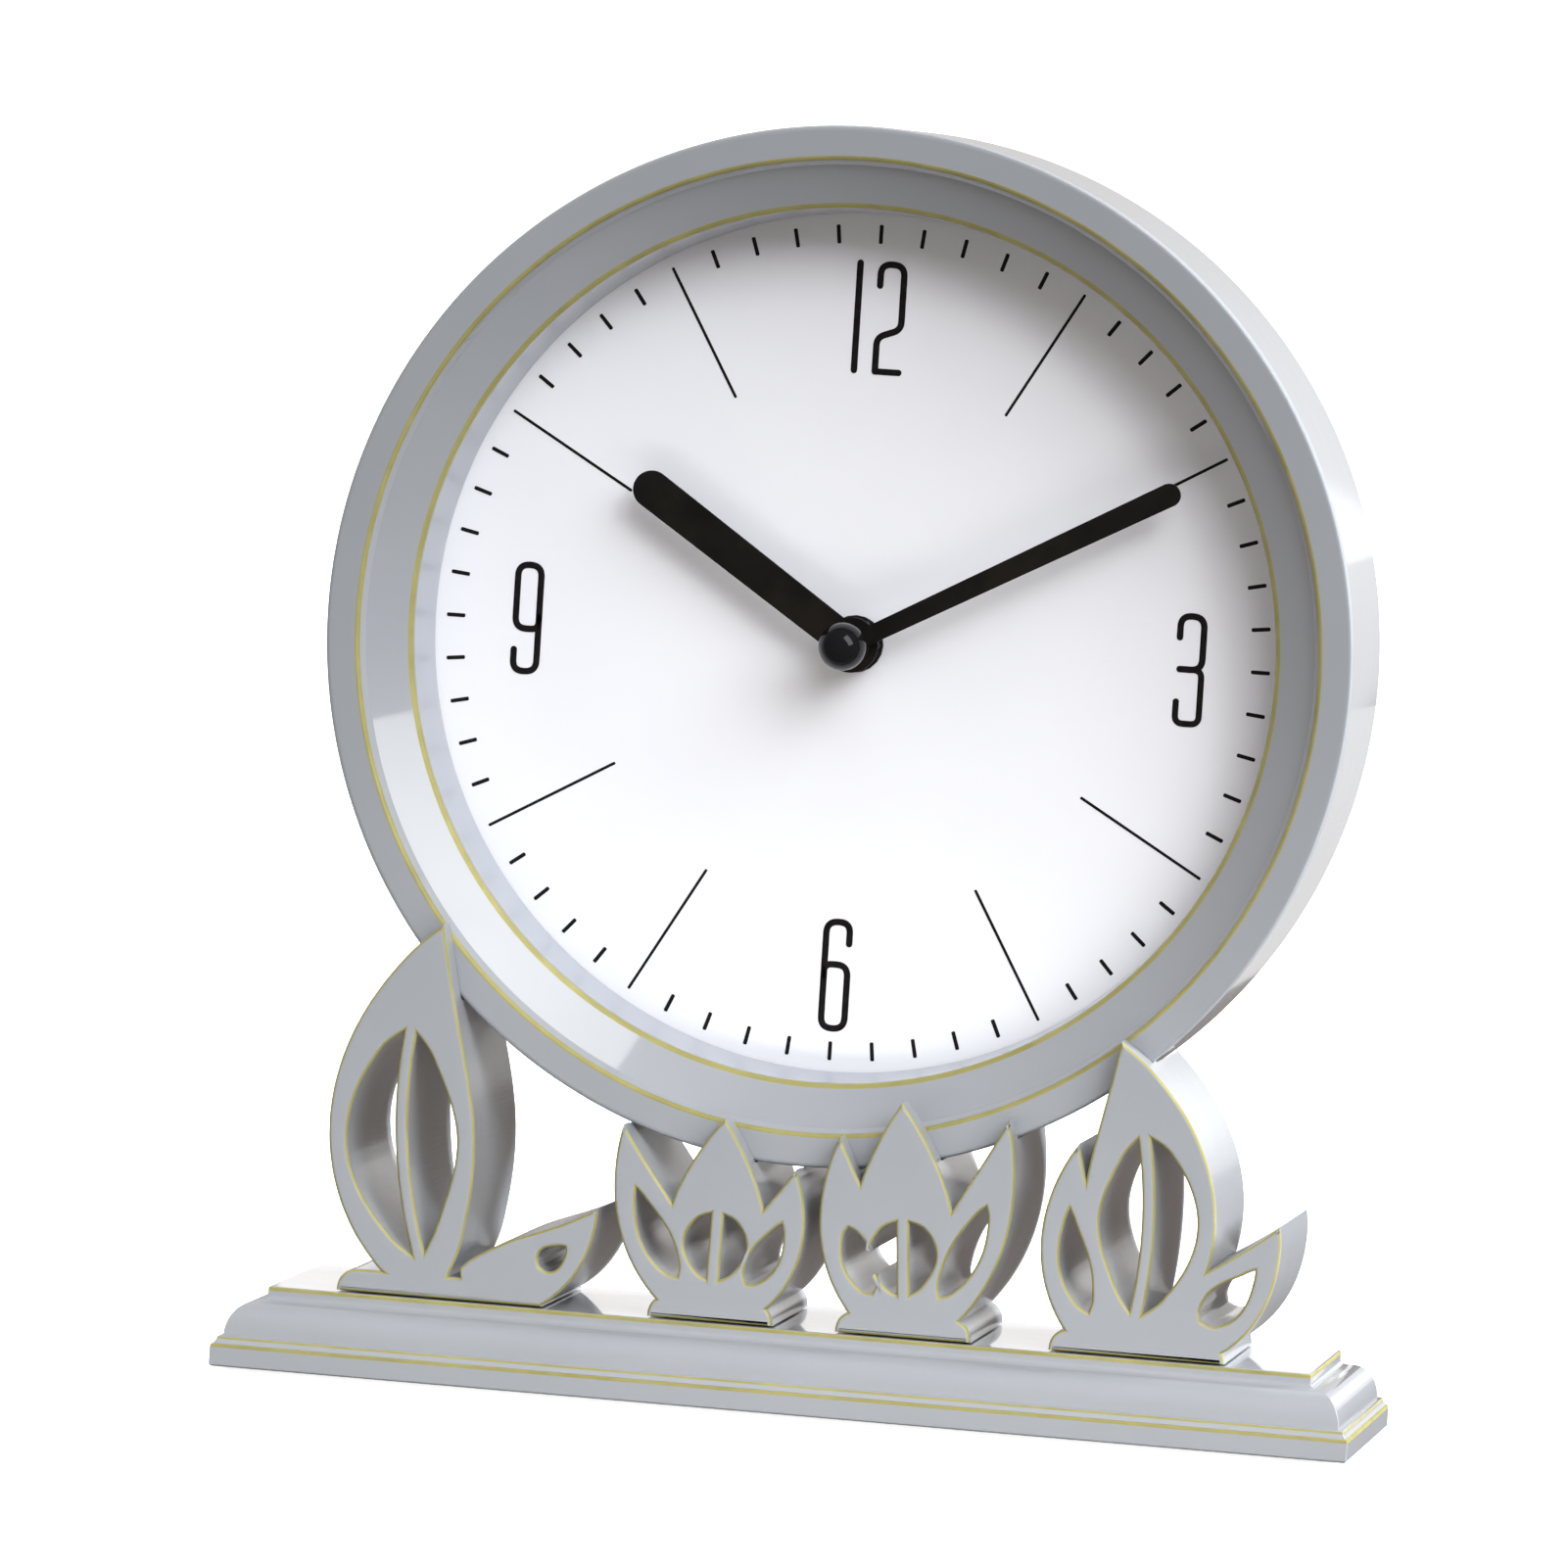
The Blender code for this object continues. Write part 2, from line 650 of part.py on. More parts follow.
SUPPORTS = {
    "leaf_support_left": {
        "foot": (-94 * PART, -51 * PART),
        "leaves": [
            Leaf(on_platform(-75 * PART), on_drum(-51 * DEG, 8 * PART), 29 * PART, 7 * PART),
            Leaf(on_platform(-68 * PART), on_drum(-19 * DEG, -18 * PART), 13 * PART, -4 * PART),
        ],
        "screw_angle": -47.5 * DEG,
        "screw_x": -72 * PART,
    },
    "palm_support_left": {
        "foot": (-29 * PART, -3 * PART),
        "leaves": [
            Leaf(on_platform(-16 * PART), on_drum(-9 * DEG, 8 * PART), 19 * PART, 0),
            Leaf(on_platform(-18 * PART), on_drum(-20 * DEG, 0 * PART), 12 * PART, 3 * PART),
            Leaf(on_platform(-14 * PART), on_drum(0 * DEG, 0 * PART), 12 * PART, -3 * PART),
        ],
        "screw_angle": -9 * DEG,
        "screw_x": -16 * PART,
    },
    "palm_support_right": {
        "foot": (10 * PART, 38 * PART),
        "leaves": [
            Leaf(on_platform(24 * PART), on_drum(13 * DEG, 13 * PART), 20 * PART, 0),
            Leaf(on_platform(21 * PART), on_drum(5 * DEG, 7 * PART), 12 * PART, 3 * PART),
            Leaf(on_platform(27 * PART), on_drum(25 * DEG, 4 * PART), 12 * PART, -3 * PART),
        ],
        "screw_angle": 13.5 * DEG,
        "screw_x": 24 * PART,
    },
    "leaf_support_right": {
        "foot": (54 * PART, 90 * PART),
        "leaves": [
            Leaf(on_platform(70 * PART), on_drum(41 * DEG, 7 * PART), 26 * PART, -5 * PART),
            Leaf(on_platform(74 * PART), FREE_TIP, 14 * PART, -4 * PART),
            Leaf(on_platform(65 * PART), on_drum(31 * DEG, -6 * PART), 12 * PART, 4 * PART),
        ],
        "screw_angle": 40 * DEG,
        "screw_x": 70 * PART,
    },
}


def support_screw_place(support):
    return (SUPPORTS[support]["screw_x"], (SUPPORT_FRONT + SUPPORT_BACK) / 2)


def drum_screw_depth():
    return (DRUM_FRONT + SUPPORT_BACK) / 2


def make_support(name):
    plan = SUPPORTS[name]
    drum_centre = Vector((0, DRUM_Z))
    left, right = plan["foot"]
    low = PLATFORM_TOP + SEAT
    pad = rounded_box((left, low - FOOT_PAD_HEIGHT), (right, low + FOOT_PAD_HEIGHT), FOOT_PAD_HEIGHT * 0.9)
    support = plate(name, [pad], SUPPORT_FRONT, SUPPORT_BACK, lacquer())
    for leaf in plan["leaves"]:
        join(support, plate("leaf", [leaf.outline()], SUPPORT_FRONT, SUPPORT_BACK, lacquer()))
    for leaf in plan["leaves"]:
        for slot in leaf.slots(drum_centre):
            cut(support, plate("slot", [slot], SUPPORT_FRONT - SEAT, SUPPORT_BACK + SEAT, lacquer()))
    reach = PLATFORM_LENGTH
    floor = block("floor", (-reach, -reach, low - reach), (reach, reach, low), lacquer())
    cut(support, floor)
    recess_radius = (DRUM_RADIUS + SEAT) / math.cos(math.pi / DRUM_STEPS)
    recess = [(0, DRUM_FRONT - SEAT), (recess_radius, DRUM_FRONT - SEAT), (recess_radius, reach), (0, reach)]
    cut(support, turned("recess", recess, lacquer(), (0, 0, DRUM_Z), DRUM_STEPS))
    x, y = support_screw_place(name)
    top = low + SUPPORT_SCREW_LENGTH
    cut(support, upright_post("pilot", x, y, low - SEAT, top, SCREW_RADIUS + RUNNING, lacquer(), SCREW_STEPS))
    hole = drum_screw_hole(name, SCREW_RADIUS + RUNNING, DRUM_RADIUS, DRUM_RADIUS + SUPPORT_SCREW_LENGTH)
    cut(support, hole)


def radial(thing, name):
    """Lay a piece that is modelled along -Y on the radius of its support's drum screw."""
    angle = SUPPORTS[name]["screw_angle"]
    thing.rotation_mode = "XYZ"
    thing.rotation_euler = (90 * DEG, -angle, 0)
    thing.location = (0, drum_screw_depth(), DRUM_Z)
    return thing


def drum_screw_hole(name, radius, near, far):
    profile = [(0, -far), (radius, -far), (radius, -near), (0, -near)]
    return radial(turned("hole", profile, lacquer(), steps=SCREW_STEPS), name)


def make_support_screws():
    head = PLATFORM_TOP - PLINTH_WALL - SEAT
    for i, support in enumerate(SUPPORTS):
        one = screw(f"support_screw_{i + 1}", -head, SUPPORT_SCREW_LENGTH)
        upward(one, *support_screw_place(support))


def make_drum_screws():
    head = -(DRUM_BORE - SEAT)
    for i, support in enumerate(SUPPORTS):
        radial(screw(f"drum_screw_{i + 1}", head, SUPPORT_SCREW_LENGTH), support)


# The drum

def drum_profile():
    """Closed profile (radius, y) of the moulded shell, open to the back."""
    front = DRUM_FRONT
    ring_edge = DRUM_RADIUS - OUTER_RING_WIDTH
    step = front + RING_STEP
    slope_end = step + INNER_RING_SLOPE
    seat = DIAL_FRONT - SEAT
    return [
        (DRUM_RADIUS - DRUM_DRAFT, DRUM_BACK),
        (DRUM_RADIUS, front + RIM_ROUND),
        (DRUM_RADIUS - RIM_ROUND, front),
        (ring_edge, front),
        (ring_edge - RIM_ROUND / 2, front + RIM_ROUND / 2),
        (ring_edge - RIM_ROUND / 2, step),
        (WELL_RADIUS + RIM_ROUND, slope_end),
        (WELL_RADIUS, slope_end + RIM_ROUND),
        (WELL_RADIUS - WELL_DRAFT, seat),
        (FLANGE_RADIUS, seat),
        (FLANGE_RADIUS, seat - FLANGE_THICKNESS),
        (WELL_RADIUS + DRUM_WALL - WELL_DRAFT, seat - FLANGE_THICKNESS),
        (WELL_RADIUS + DRUM_WALL, slope_end + DRUM_WALL),
        (ring_edge - RIM_ROUND / 2, step + DRUM_WALL),
        (DRUM_BORE, front + DRUM_WALL),
        (DRUM_BORE, DRUM_BACK),
    ]


def cover_boss_radius():
    return DRUM_RADIUS - COVER_SCREW_INSET


def dial_screw_radius():
    return DIAL_RADIUS - DIAL_SCREW_INSET + SCREW_RADIUS


def make_drum():
    drum = turned("drum_case", drum_profile(), lacquer(), (0, 0, DRUM_Z), DRUM_STEPS)
    underside = DRUM_FRONT + DRUM_WALL - SEAT
    boss = SCREW_RADIUS + BOSS_WALL
    for x, z, angle in around(COVER_SCREWS, cover_boss_radius(), COVER_SCREW_TURN):
        end = COVER_INNER_FACE - SEAT
        join(drum, plate("boss", [circle(boss, BOSS_STEPS)], underside, end, lacquer(), (x, 0, DRUM_Z + z)))
        hole = [circle(SCREW_RADIUS + RUNNING, SCREW_STEPS)]
        cut(drum, plate("hole", hole, end - SCREW_LENGTH, end + SEAT, lacquer(), (x, 0, DRUM_Z + z)))
    seat = DIAL_FRONT - SEAT
    for x, z, angle in around(DIAL_SCREWS, dial_screw_radius(), DIAL_SCREW_TURN):
        root = seat - FLANGE_THICKNESS / 2
        low = seat - SCREW_LENGTH - FLANGE_THICKNESS
        join(drum, plate("boss", [circle(boss, BOSS_STEPS)], low, root, lacquer(), (x, 0, DRUM_Z + z)))
        hole = [circle(SCREW_RADIUS + RUNNING, SCREW_STEPS)]
        cut(drum, plate("hole", hole, seat - SCREW_LENGTH, seat + SEAT, lacquer(), (x, 0, DRUM_Z + z)))
    for name in SUPPORTS:
        cut(drum, drum_screw_hole(name, SCREW_RADIUS + SEAT, DRUM_BORE - SEAT, DRUM_RADIUS + SEAT))


def make_dial():
    places = around(DIAL_SCREWS, dial_screw_radius(), DIAL_SCREW_TURN)
    holes = [circle(SCREW_RADIUS + SEAT, SCREW_STEPS, (x, z)) for x, z, angle in places]
    outlines = [circle(DIAL_RADIUS, DRUM_STEPS), circle(BUSH_RADIUS + SEAT)] + holes
    plate("dial", outlines, DIAL_FRONT, DIAL_BACK, dial_paper(), (0, 0, DRUM_Z))
    for i, (x, z, angle) in enumerate(places):
        screw(f"dial_screw_{i + 1}", DIAL_BACK + SEAT, SCREW_LENGTH, (x, 0, DRUM_Z + z))


def make_rear_cover():
    radius = DRUM_BORE * math.cos(math.pi / DRUM_STEPS) - SEAT
    window = MOVEMENT_SIZE / 2 + COVER_WINDOW_MARGIN
    places = around(COVER_SCREWS, cover_boss_radius(), COVER_SCREW_TURN)
    holes = [circle(SCREW_RADIUS + SEAT, SCREW_STEPS, (x, z)) for x, z, angle in places]
    opening = rounded_box((-window, -window), (window, window), MOVEMENT_CORNER)
    outlines = [circle(radius, DRUM_STEPS), opening] + holes
    cover = plate("rear_cover", outlines, COVER_INNER_FACE, COVER_FACE, black_plastic(), (0, 0, DRUM_Z))
    inside = window + 2 * COVER_RIB
    outside = inside + COVER_RIB
    frame = rounded_box((-outside, -outside), (outside, outside), MOVEMENT_CORNER + COVER_RIB)
    inner = rounded_box((-inside, -inside), (inside, inside), MOVEMENT_CORNER)
    back = COVER_FACE + COVER_RECESS / 2
    join(cover, plate("rib", [frame, inner], COVER_FACE - SEAT, back, black_plastic(), (0, 0, DRUM_Z)))
    for i, (x, z, angle) in enumerate(places):
        screw(f"rear_cover_screw_{i + 1}", COVER_FACE + SEAT, SCREW_LENGTH, (x, 0, DRUM_Z + z))


# The wheels

def gear_outline(teeth, module, phase):
    """Straight-flanked teeth: pinion teeth have a flat tip, the fine teeth of wheels are pointed."""
    pitch = teeth * module / 2
    tip = pitch + ADDENDUM * module
    root = pitch - DEDENDUM * module
    tooth = 2 * math.pi / teeth
    corners = ((root, -PINION_ROOT), (tip, -PINION_TIP), (tip, PINION_TIP), (root, PINION_ROOT))
    if teeth > LARGEST_PINION:
        corners = ((root, -WHEEL_ROOT), (tip, 0.0), (root, WHEEL_ROOT))
    points = []
    for i in range(teeth):
        middle = phase + i * tooth
        for radius, offset in corners:
            angle = middle + offset * tooth
            points.append((radius * math.cos(angle), radius * math.sin(angle)))
    return points


def meshing_phase(phase, teeth, direction, other_teeth):
    """Phase of a gear that meshes, in the given direction, with a gear of known phase."""
    share = ((direction - phase) * teeth / (2 * math.pi)) % 1
    return direction + math.pi - (0.5 - share) * 2 * math.pi / other_teeth


def step_from(place, distance, angle):
    return (place[0] + distance * math.cos(angle), place[1] + distance * math.sin(angle))


def axis_distance(teeth, other_teeth, module):
    return (teeth + other_teeth) * module / 2


CENTRE = (0.0, 0.0)
MOTION_DISTANCE = axis_distance(CANNON_TEETH, MOTION_TEETH, MOTION_MODULE)
HOUR_MODULE = 2 * MOTION_DISTANCE / (MOTION_PINION_TEETH + HOUR_TEETH)
THIRD_DISTANCE = axis_distance(THIRD_TEETH, SECOND_PINION_TEETH, THIRD_MODULE)
CENTRE_MODULE = 2 * THIRD_DISTANCE / (CENTRE_TEETH + THIRD_PINION_TEETH)
MOTION_AXIS = step_from(CENTRE, MOTION_DISTANCE, MOTION_ANGLE)
KNOB_AXIS = step_from(MOTION_AXIS, axis_distance(MOTION_TEETH, KNOB_TEETH, MOTION_MODULE), KNOB_ANGLE)
THIRD_AXIS = step_from(CENTRE, THIRD_DISTANCE, THIRD_ANGLE)
INTERMEDIATE_AXIS = step_from(
    CENTRE, axis_distance(SECOND_TEETH, INTERMEDIATE_PINION_TEETH, SECOND_MODULE), INTERMEDIATE_ANGLE)
ROTOR_AXIS = step_from(
    INTERMEDIATE_AXIS, axis_distance(INTERMEDIATE_TEETH, ROTOR_TEETH, ROTOR_MODULE), ROTOR_ANGLE)

# Layers of the train from the front wall to the back
FLANGE_BACK = ROOM_FRONT + SEAT + BUSH_FLANGE
HOUR_WHEEL_FRONT = FLANGE_BACK + LAYER_GAP
CANNON_FRONT = HOUR_WHEEL_FRONT + WHEEL_THICKNESS + LAYER_GAP
CENTRE_WHEEL_FRONT = CANNON_FRONT + PINION_LENGTH + LAYER_GAP
THIRD_WHEEL_FRONT = CENTRE_WHEEL_FRONT + WHEEL_THICKNESS + LAYER_GAP + PINION_LENGTH / 2
SECOND_WHEEL_FRONT = THIRD_WHEEL_FRONT + WHEEL_THICKNESS + LAYER_GAP + PINION_LENGTH / 2
INTERMEDIATE_WHEEL_FRONT = SECOND_WHEEL_FRONT + WHEEL_THICKNESS + LAYER_GAP + PINION_LENGTH / 2
PIVOT_BACK = ROOM_BACK - SEAT - RUNNING
BOSS_FRONT = ROOM_BACK - SEAT - PIVOT_DEPTH
PIVOT_FRONT = ROOM_FRONT + RUNNING
STATOR_FRONT = THIRD_WHEEL_FRONT + WHEEL_THICKNESS + LAYER_GAP
HOUR_BORE = MINUTE_ARBOR_RADIUS + RUNNING
HOUR_PIPE_RADIUS = HOUR_BORE + HOUR_PIPE_WALL
BUSH_BORE = HOUR_PIPE_RADIUS + RUNNING
BUSH_FRONT = DIAL_FRONT - SEAT - BRASS_WASHER - SEAT - NUT_THICKNESS - BUSH_PROUD
HOUR_HAND_BACK = BUSH_FRONT - HAND_GAP
HOUR_HAND_FRONT = HOUR_HAND_BACK - HAND_THICKNESS
MINUTE_HAND_BACK = HOUR_HAND_FRONT - HAND_GAP
MINUTE_HAND_FRONT = MINUTE_HAND_BACK - HAND_THICKNESS


def at_axis(axis):
    return (axis[0], 0, DRUM_Z + axis[1])


def arbor_wheel(name, axis, pinion, wheel, finish, front=PIVOT_FRONT):
    """A wheel and its pinion on one arbor: each is (outline, front, back)."""
    arbor = circle(ARBOR_RADIUS, ARBOR_STEPS)
    sections = []
    level = front
    for outline, start, end in sorted([pinion, wheel], key=lambda cog: cog[1]):
        if start > level:
            sections.append((arbor, level, start))
        sections.append((outline, max(start, level), end))
        level = end
    sections.append((arbor, level, PIVOT_BACK))
    stacked(name, sections, finish, at_axis(axis))


def wheel_phases():
    """Phases that put every pair in mesh, worked out from the cannon pinion and the centre wheel."""
    cannon = 0.0
    motion = meshing_phase(cannon, CANNON_TEETH, MOTION_ANGLE, MOTION_TEETH)
    knob = meshing_phase(motion, MOTION_TEETH, KNOB_ANGLE, KNOB_TEETH)
    motion_pinion = 0.0
    hour = meshing_phase(motion_pinion, MOTION_PINION_TEETH, MOTION_ANGLE + math.pi, HOUR_TEETH)
    centre = 0.0
    third_pinion = meshing_phase(centre, CENTRE_TEETH, THIRD_ANGLE, THIRD_PINION_TEETH)
    third = 0.0
    second_pinion = meshing_phase(third, THIRD_TEETH, THIRD_ANGLE + math.pi, SECOND_PINION_TEETH)
    second = 0.0
    intermediate_pinion = meshing_phase(second, SECOND_TEETH, INTERMEDIATE_ANGLE, INTERMEDIATE_PINION_TEETH)
    intermediate = 0.0
    rotor = meshing_phase(intermediate, INTERMEDIATE_TEETH, ROTOR_ANGLE, ROTOR_TEETH)
    return {
        "cannon": cannon, "motion": motion, "knob": knob, "motion_pinion": motion_pinion, "hour": hour,
        "centre": centre, "third_pinion": third_pinion, "third": third, "second_pinion": second_pinion,
        "second": second, "intermediate_pinion": intermediate_pinion, "intermediate": intermediate,
        "rotor": rotor,
    }


def make_minute_arbor(phases):
    tip = circle(MINUTE_TIP_RADIUS, ROUND_STEPS)
    body = circle(MINUTE_ARBOR_RADIUS, ROUND_STEPS)
    cannon = gear_outline(CANNON_TEETH, MOTION_MODULE, phases["cannon"])
    shoulder = MINUTE_HAND_BACK + SEAT
    cannon_back = CANNON_FRONT + PINION_LENGTH
    back = CENTRE_WHEEL_FRONT + WHEEL_THICKNESS
    sections = [
        (tip, MINUTE_HAND_FRONT - SEAT - CAP_COLLAR, shoulder),
        (body, shoulder, CANNON_FRONT),
        (cannon, CANNON_FRONT, cannon_back),
        (tip, cannon_back, back),
    ]
    stacked("minute_arbor", sections, steel(), at_axis(CENTRE))


def make_hour_wheel(phases):
    wheel = gear_outline(HOUR_TEETH, HOUR_MODULE, phases["hour"])
    sections = [
        (circle(HOUR_PIPE_RADIUS), HOUR_HAND_FRONT - SEAT, HOUR_WHEEL_FRONT),
        (wheel, HOUR_WHEEL_FRONT, HOUR_WHEEL_FRONT + WHEEL_THICKNESS),
    ]
    stacked("hour_wheel", sections, brass(), at_axis(CENTRE), circle(HOUR_BORE))


def make_motion_wheel(phases):
    pinion = gear_outline(MOTION_PINION_TEETH, HOUR_MODULE, phases["motion_pinion"])
    wheel = gear_outline(MOTION_TEETH, MOTION_MODULE, phases["motion"])
    wheel_front = CANNON_FRONT + (PINION_LENGTH - WHEEL_THICKNESS) / 2
    sections = [
        (pinion, HOUR_WHEEL_FRONT, wheel_front),
        (wheel, wheel_front, wheel_front + WHEEL_THICKNESS),
    ]
    bore = circle(ARBOR_RADIUS + RUNNING, ARBOR_STEPS)
    stacked("motion_wheel", sections, white_plastic(), at_axis(MOTION_AXIS), bore)


def make_centre_wheel(phases):
    wheel = gear_outline(CENTRE_TEETH, CENTRE_MODULE, phases["centre"])
    sections = [(wheel, CENTRE_WHEEL_FRONT, CENTRE_WHEEL_FRONT + WHEEL_THICKNESS)]
    stacked("centre_wheel", sections, brass(), at_axis(CENTRE), circle(MINUTE_TIP_RADIUS + RUNNING))


def beside(level):
    """A pinion's span (front, back), centred on the wheel that it drives."""
    middle = level + WHEEL_THICKNESS / 2
    return (middle - PINION_LENGTH / 2, middle + PINION_LENGTH / 2)


def make_train(phases):
    pinion = gear_outline(THIRD_PINION_TEETH, CENTRE_MODULE, phases["third_pinion"])
    wheel = gear_outline(THIRD_TEETH, THIRD_MODULE, phases["third"])
    arbor_wheel("third_wheel", THIRD_AXIS, (pinion, *beside(CENTRE_WHEEL_FRONT)),
                (wheel, THIRD_WHEEL_FRONT, THIRD_WHEEL_FRONT + WHEEL_THICKNESS), white_plastic())
    pinion = gear_outline(SECOND_PINION_TEETH, THIRD_MODULE, phases["second_pinion"])
    wheel = gear_outline(SECOND_TEETH, SECOND_MODULE, phases["second"])
    front = CENTRE_WHEEL_FRONT + WHEEL_THICKNESS + RUNNING
    arbor_wheel("second_wheel", CENTRE, (pinion, *beside(THIRD_WHEEL_FRONT)),
                (wheel, SECOND_WHEEL_FRONT, SECOND_WHEEL_FRONT + WHEEL_THICKNESS), white_plastic(), front)
    pinion = gear_outline(INTERMEDIATE_PINION_TEETH, SECOND_MODULE, phases["intermediate_pinion"])
    wheel = gear_outline(INTERMEDIATE_TEETH, ROTOR_MODULE, phases["intermediate"])
    arbor_wheel("intermediate_wheel", INTERMEDIATE_AXIS, (pinion, *beside(SECOND_WHEEL_FRONT)),
                (wheel, INTERMEDIATE_WHEEL_FRONT, INTERMEDIATE_WHEEL_FRONT + WHEEL_THICKNESS),
                white_plastic())
    pinion = gear_outline(ROTOR_TEETH, ROTOR_MODULE, phases["rotor"])
    magnet_front = STATOR_FRONT + STATOR_THICKNESS / 2 - MAGNET_LENGTH / 2
    magnet = (circle(MAGNET_RADIUS), magnet_front, magnet_front + MAGNET_LENGTH)
    arbor_wheel("rotor", ROTOR_AXIS, (pinion, *beside(INTERMEDIATE_WHEEL_FRONT)), magnet, steel())


def make_setting_knob(phases):
    pinion = gear_outline(KNOB_TEETH, MOTION_MODULE, phases["knob"])
    arbor = circle(KNOB_ARBOR_RADIUS, ROUND_STEPS)
    knob_front = MOVEMENT_BACK + SEAT
    knob_back = DRUM_BACK - RIM_ROUND
    grip = []
    for i in range(2 * KNOB_RIBS):
        angle = math.pi * i / KNOB_RIBS
        radius = KNOB_RADIUS - (i % 2) * KNOB_RIB
        grip.append((radius * math.cos(angle), radius * math.sin(angle)))
    sections = [
        (arbor, PIVOT_FRONT, CANNON_FRONT),
        (pinion, CANNON_FRONT, CANNON_FRONT + PINION_LENGTH),
        (arbor, CANNON_FRONT + PINION_LENGTH, knob_front),
        (grip, knob_front, knob_back),
    ]
    stacked("setting_knob", sections, white_plastic(), at_axis(KNOB_AXIS))


# The hands

def hand_outline(length, hub_radius, root_width, tip_width, steps=8):
    """Outline of a hand that points to +Z: a round hub, a straight bar and a round end."""
    end = length - tip_width / 2
    points = []
    for i in range(steps + 1):
        angle = math.pi * i / steps
        points.append((tip_width / 2 * math.cos(angle), end + tip_width / 2 * math.sin(angle)))
    meet = math.asin(root_width / 2 / hub_radius)
    hub_steps = 3 * steps
    for i in range(hub_steps + 1):
        angle = math.pi / 2 + meet + (2 * math.pi - 2 * meet) * i / hub_steps
        points.append((hub_radius * math.cos(angle), hub_radius * math.sin(angle)))
    return points


def make_hands():
    outline = hand_outline(HOUR_HAND_LENGTH, HOUR_HUB_RADIUS, HOUR_HAND_WIDTH, HOUR_HAND_WIDTH)
    hole = circle(HOUR_PIPE_RADIUS + RUNNING)
    place = at_axis(CENTRE)
    hour = plate("hour_hand", [outline, hole], HOUR_HAND_FRONT, HOUR_HAND_BACK, hand_black(), place)
    hour.rotation_euler = (0, HOUR_HAND_ANGLE, 0)
    outline = hand_outline(MINUTE_HAND_LENGTH, MINUTE_HUB_RADIUS, MINUTE_HAND_WIDTH, MINUTE_HAND_TIP_WIDTH)
    hole = circle(MINUTE_TIP_RADIUS + RUNNING)
    minute = plate("minute_hand", [outline, hole], MINUTE_HAND_FRONT, MINUTE_HAND_BACK, hand_black(), place)
    minute.rotation_euler = (0, MINUTE_HAND_ANGLE, 0)
    back = MINUTE_HAND_FRONT - SEAT
    collar_front = back - CAP_COLLAR
    bore = MINUTE_TIP_RADIUS + RUNNING
    middle = collar_front - math.sqrt(CAP_RADIUS ** 2 - CAP_COLLAR_RADIUS ** 2)
    profile = [(0, middle - CAP_RADIUS)]
    first = math.asin(CAP_COLLAR_RADIUS / CAP_RADIUS)
    for i in range(1, BALL_STEPS + 1):
        angle = (math.pi - first) * i / BALL_STEPS
        profile.append((CAP_RADIUS * math.sin(angle), middle - CAP_RADIUS * math.cos(angle)))
    bore_end = collar_front - SEAT
    profile += [(CAP_COLLAR_RADIUS, back), (bore, back), (bore, bore_end), (0, bore_end)]
    turned("hand_cap", profile, gloss_black(), place)


# The movement

def make_movement_case():
    half = MOVEMENT_SIZE / 2
    inner = half - MOVEMENT_WALL
    round_corner = MOVEMENT_CORNER - MOVEMENT_WALL
    back = ROOM_BACK - SEAT
    root = ROOM_FRONT - SEAT
    finish = black_plastic()
    place = at_axis(CENTRE)
    outline = rounded_box((-half, -half), (half, half), MOVEMENT_CORNER)
    case = plate("movement_case", [outline], MOVEMENT_FRONT, back, finish, place)
    train_room = rounded_box((-inner, cell_top() + MOVEMENT_WALL), (inner, inner), round_corner)
    cut(case, plate("room", [train_room], ROOM_FRONT, back + SEAT, finish, place))
    cell_room = rounded_box((-inner, -inner), (inner, cell_top()), round_corner)
    cut(case, plate("room", [cell_room], root, back + SEAT, finish, place))
    for axis, radius in pivot_axes():
        boss = circle(radius + PIVOT_BOSS_WALL, ARBOR_STEPS)
        join(case, plate("boss", [boss], root, ROOM_FRONT + PIVOT_DEPTH, finish, at_axis(axis)))
        hole = circle(radius + RUNNING, ARBOR_STEPS)
        cut(case, plate("hole", [hole], ROOM_FRONT, ROOM_FRONT + 2 * PIVOT_DEPTH, finish, at_axis(axis)))
    stud = circle(ARBOR_RADIUS, ARBOR_STEPS)
    join(case, plate("stud", [stud], root, CANNON_FRONT + PINION_LENGTH, finish, at_axis(MOTION_AXIS)))
    post = circle(KNOB_ARBOR_RADIUS, ARBOR_STEPS)
    for axis in board_posts():
        join(case, plate("post", [post], root, BOARD_FRONT - SEAT, finish, at_axis(axis)))
    core_front = STATOR_FRONT - SEAT - STATOR_THICKNESS
    for axis in stator_posts():
        join(case, plate("post", [post], root, core_front - SEAT, finish, at_axis(axis)))
    hole = circle(BUSH_RADIUS + SEAT)
    cut(case, plate("hole", [hole], MOVEMENT_FRONT - SEAT, ROOM_FRONT + SEAT, finish, place))


def cell_top():
    return -MOVEMENT_SIZE / 2 + MOVEMENT_WALL + 2 * CELL_RADIUS + FREE


def pivot_axes():
    """Axes that turn in the front wall, with the radius of each arbor."""
    return [
        (THIRD_AXIS, ARBOR_RADIUS),
        (INTERMEDIATE_AXIS, ARBOR_RADIUS),
        (ROTOR_AXIS, ARBOR_RADIUS),
        (KNOB_AXIS, KNOB_ARBOR_RADIUS),
    ]


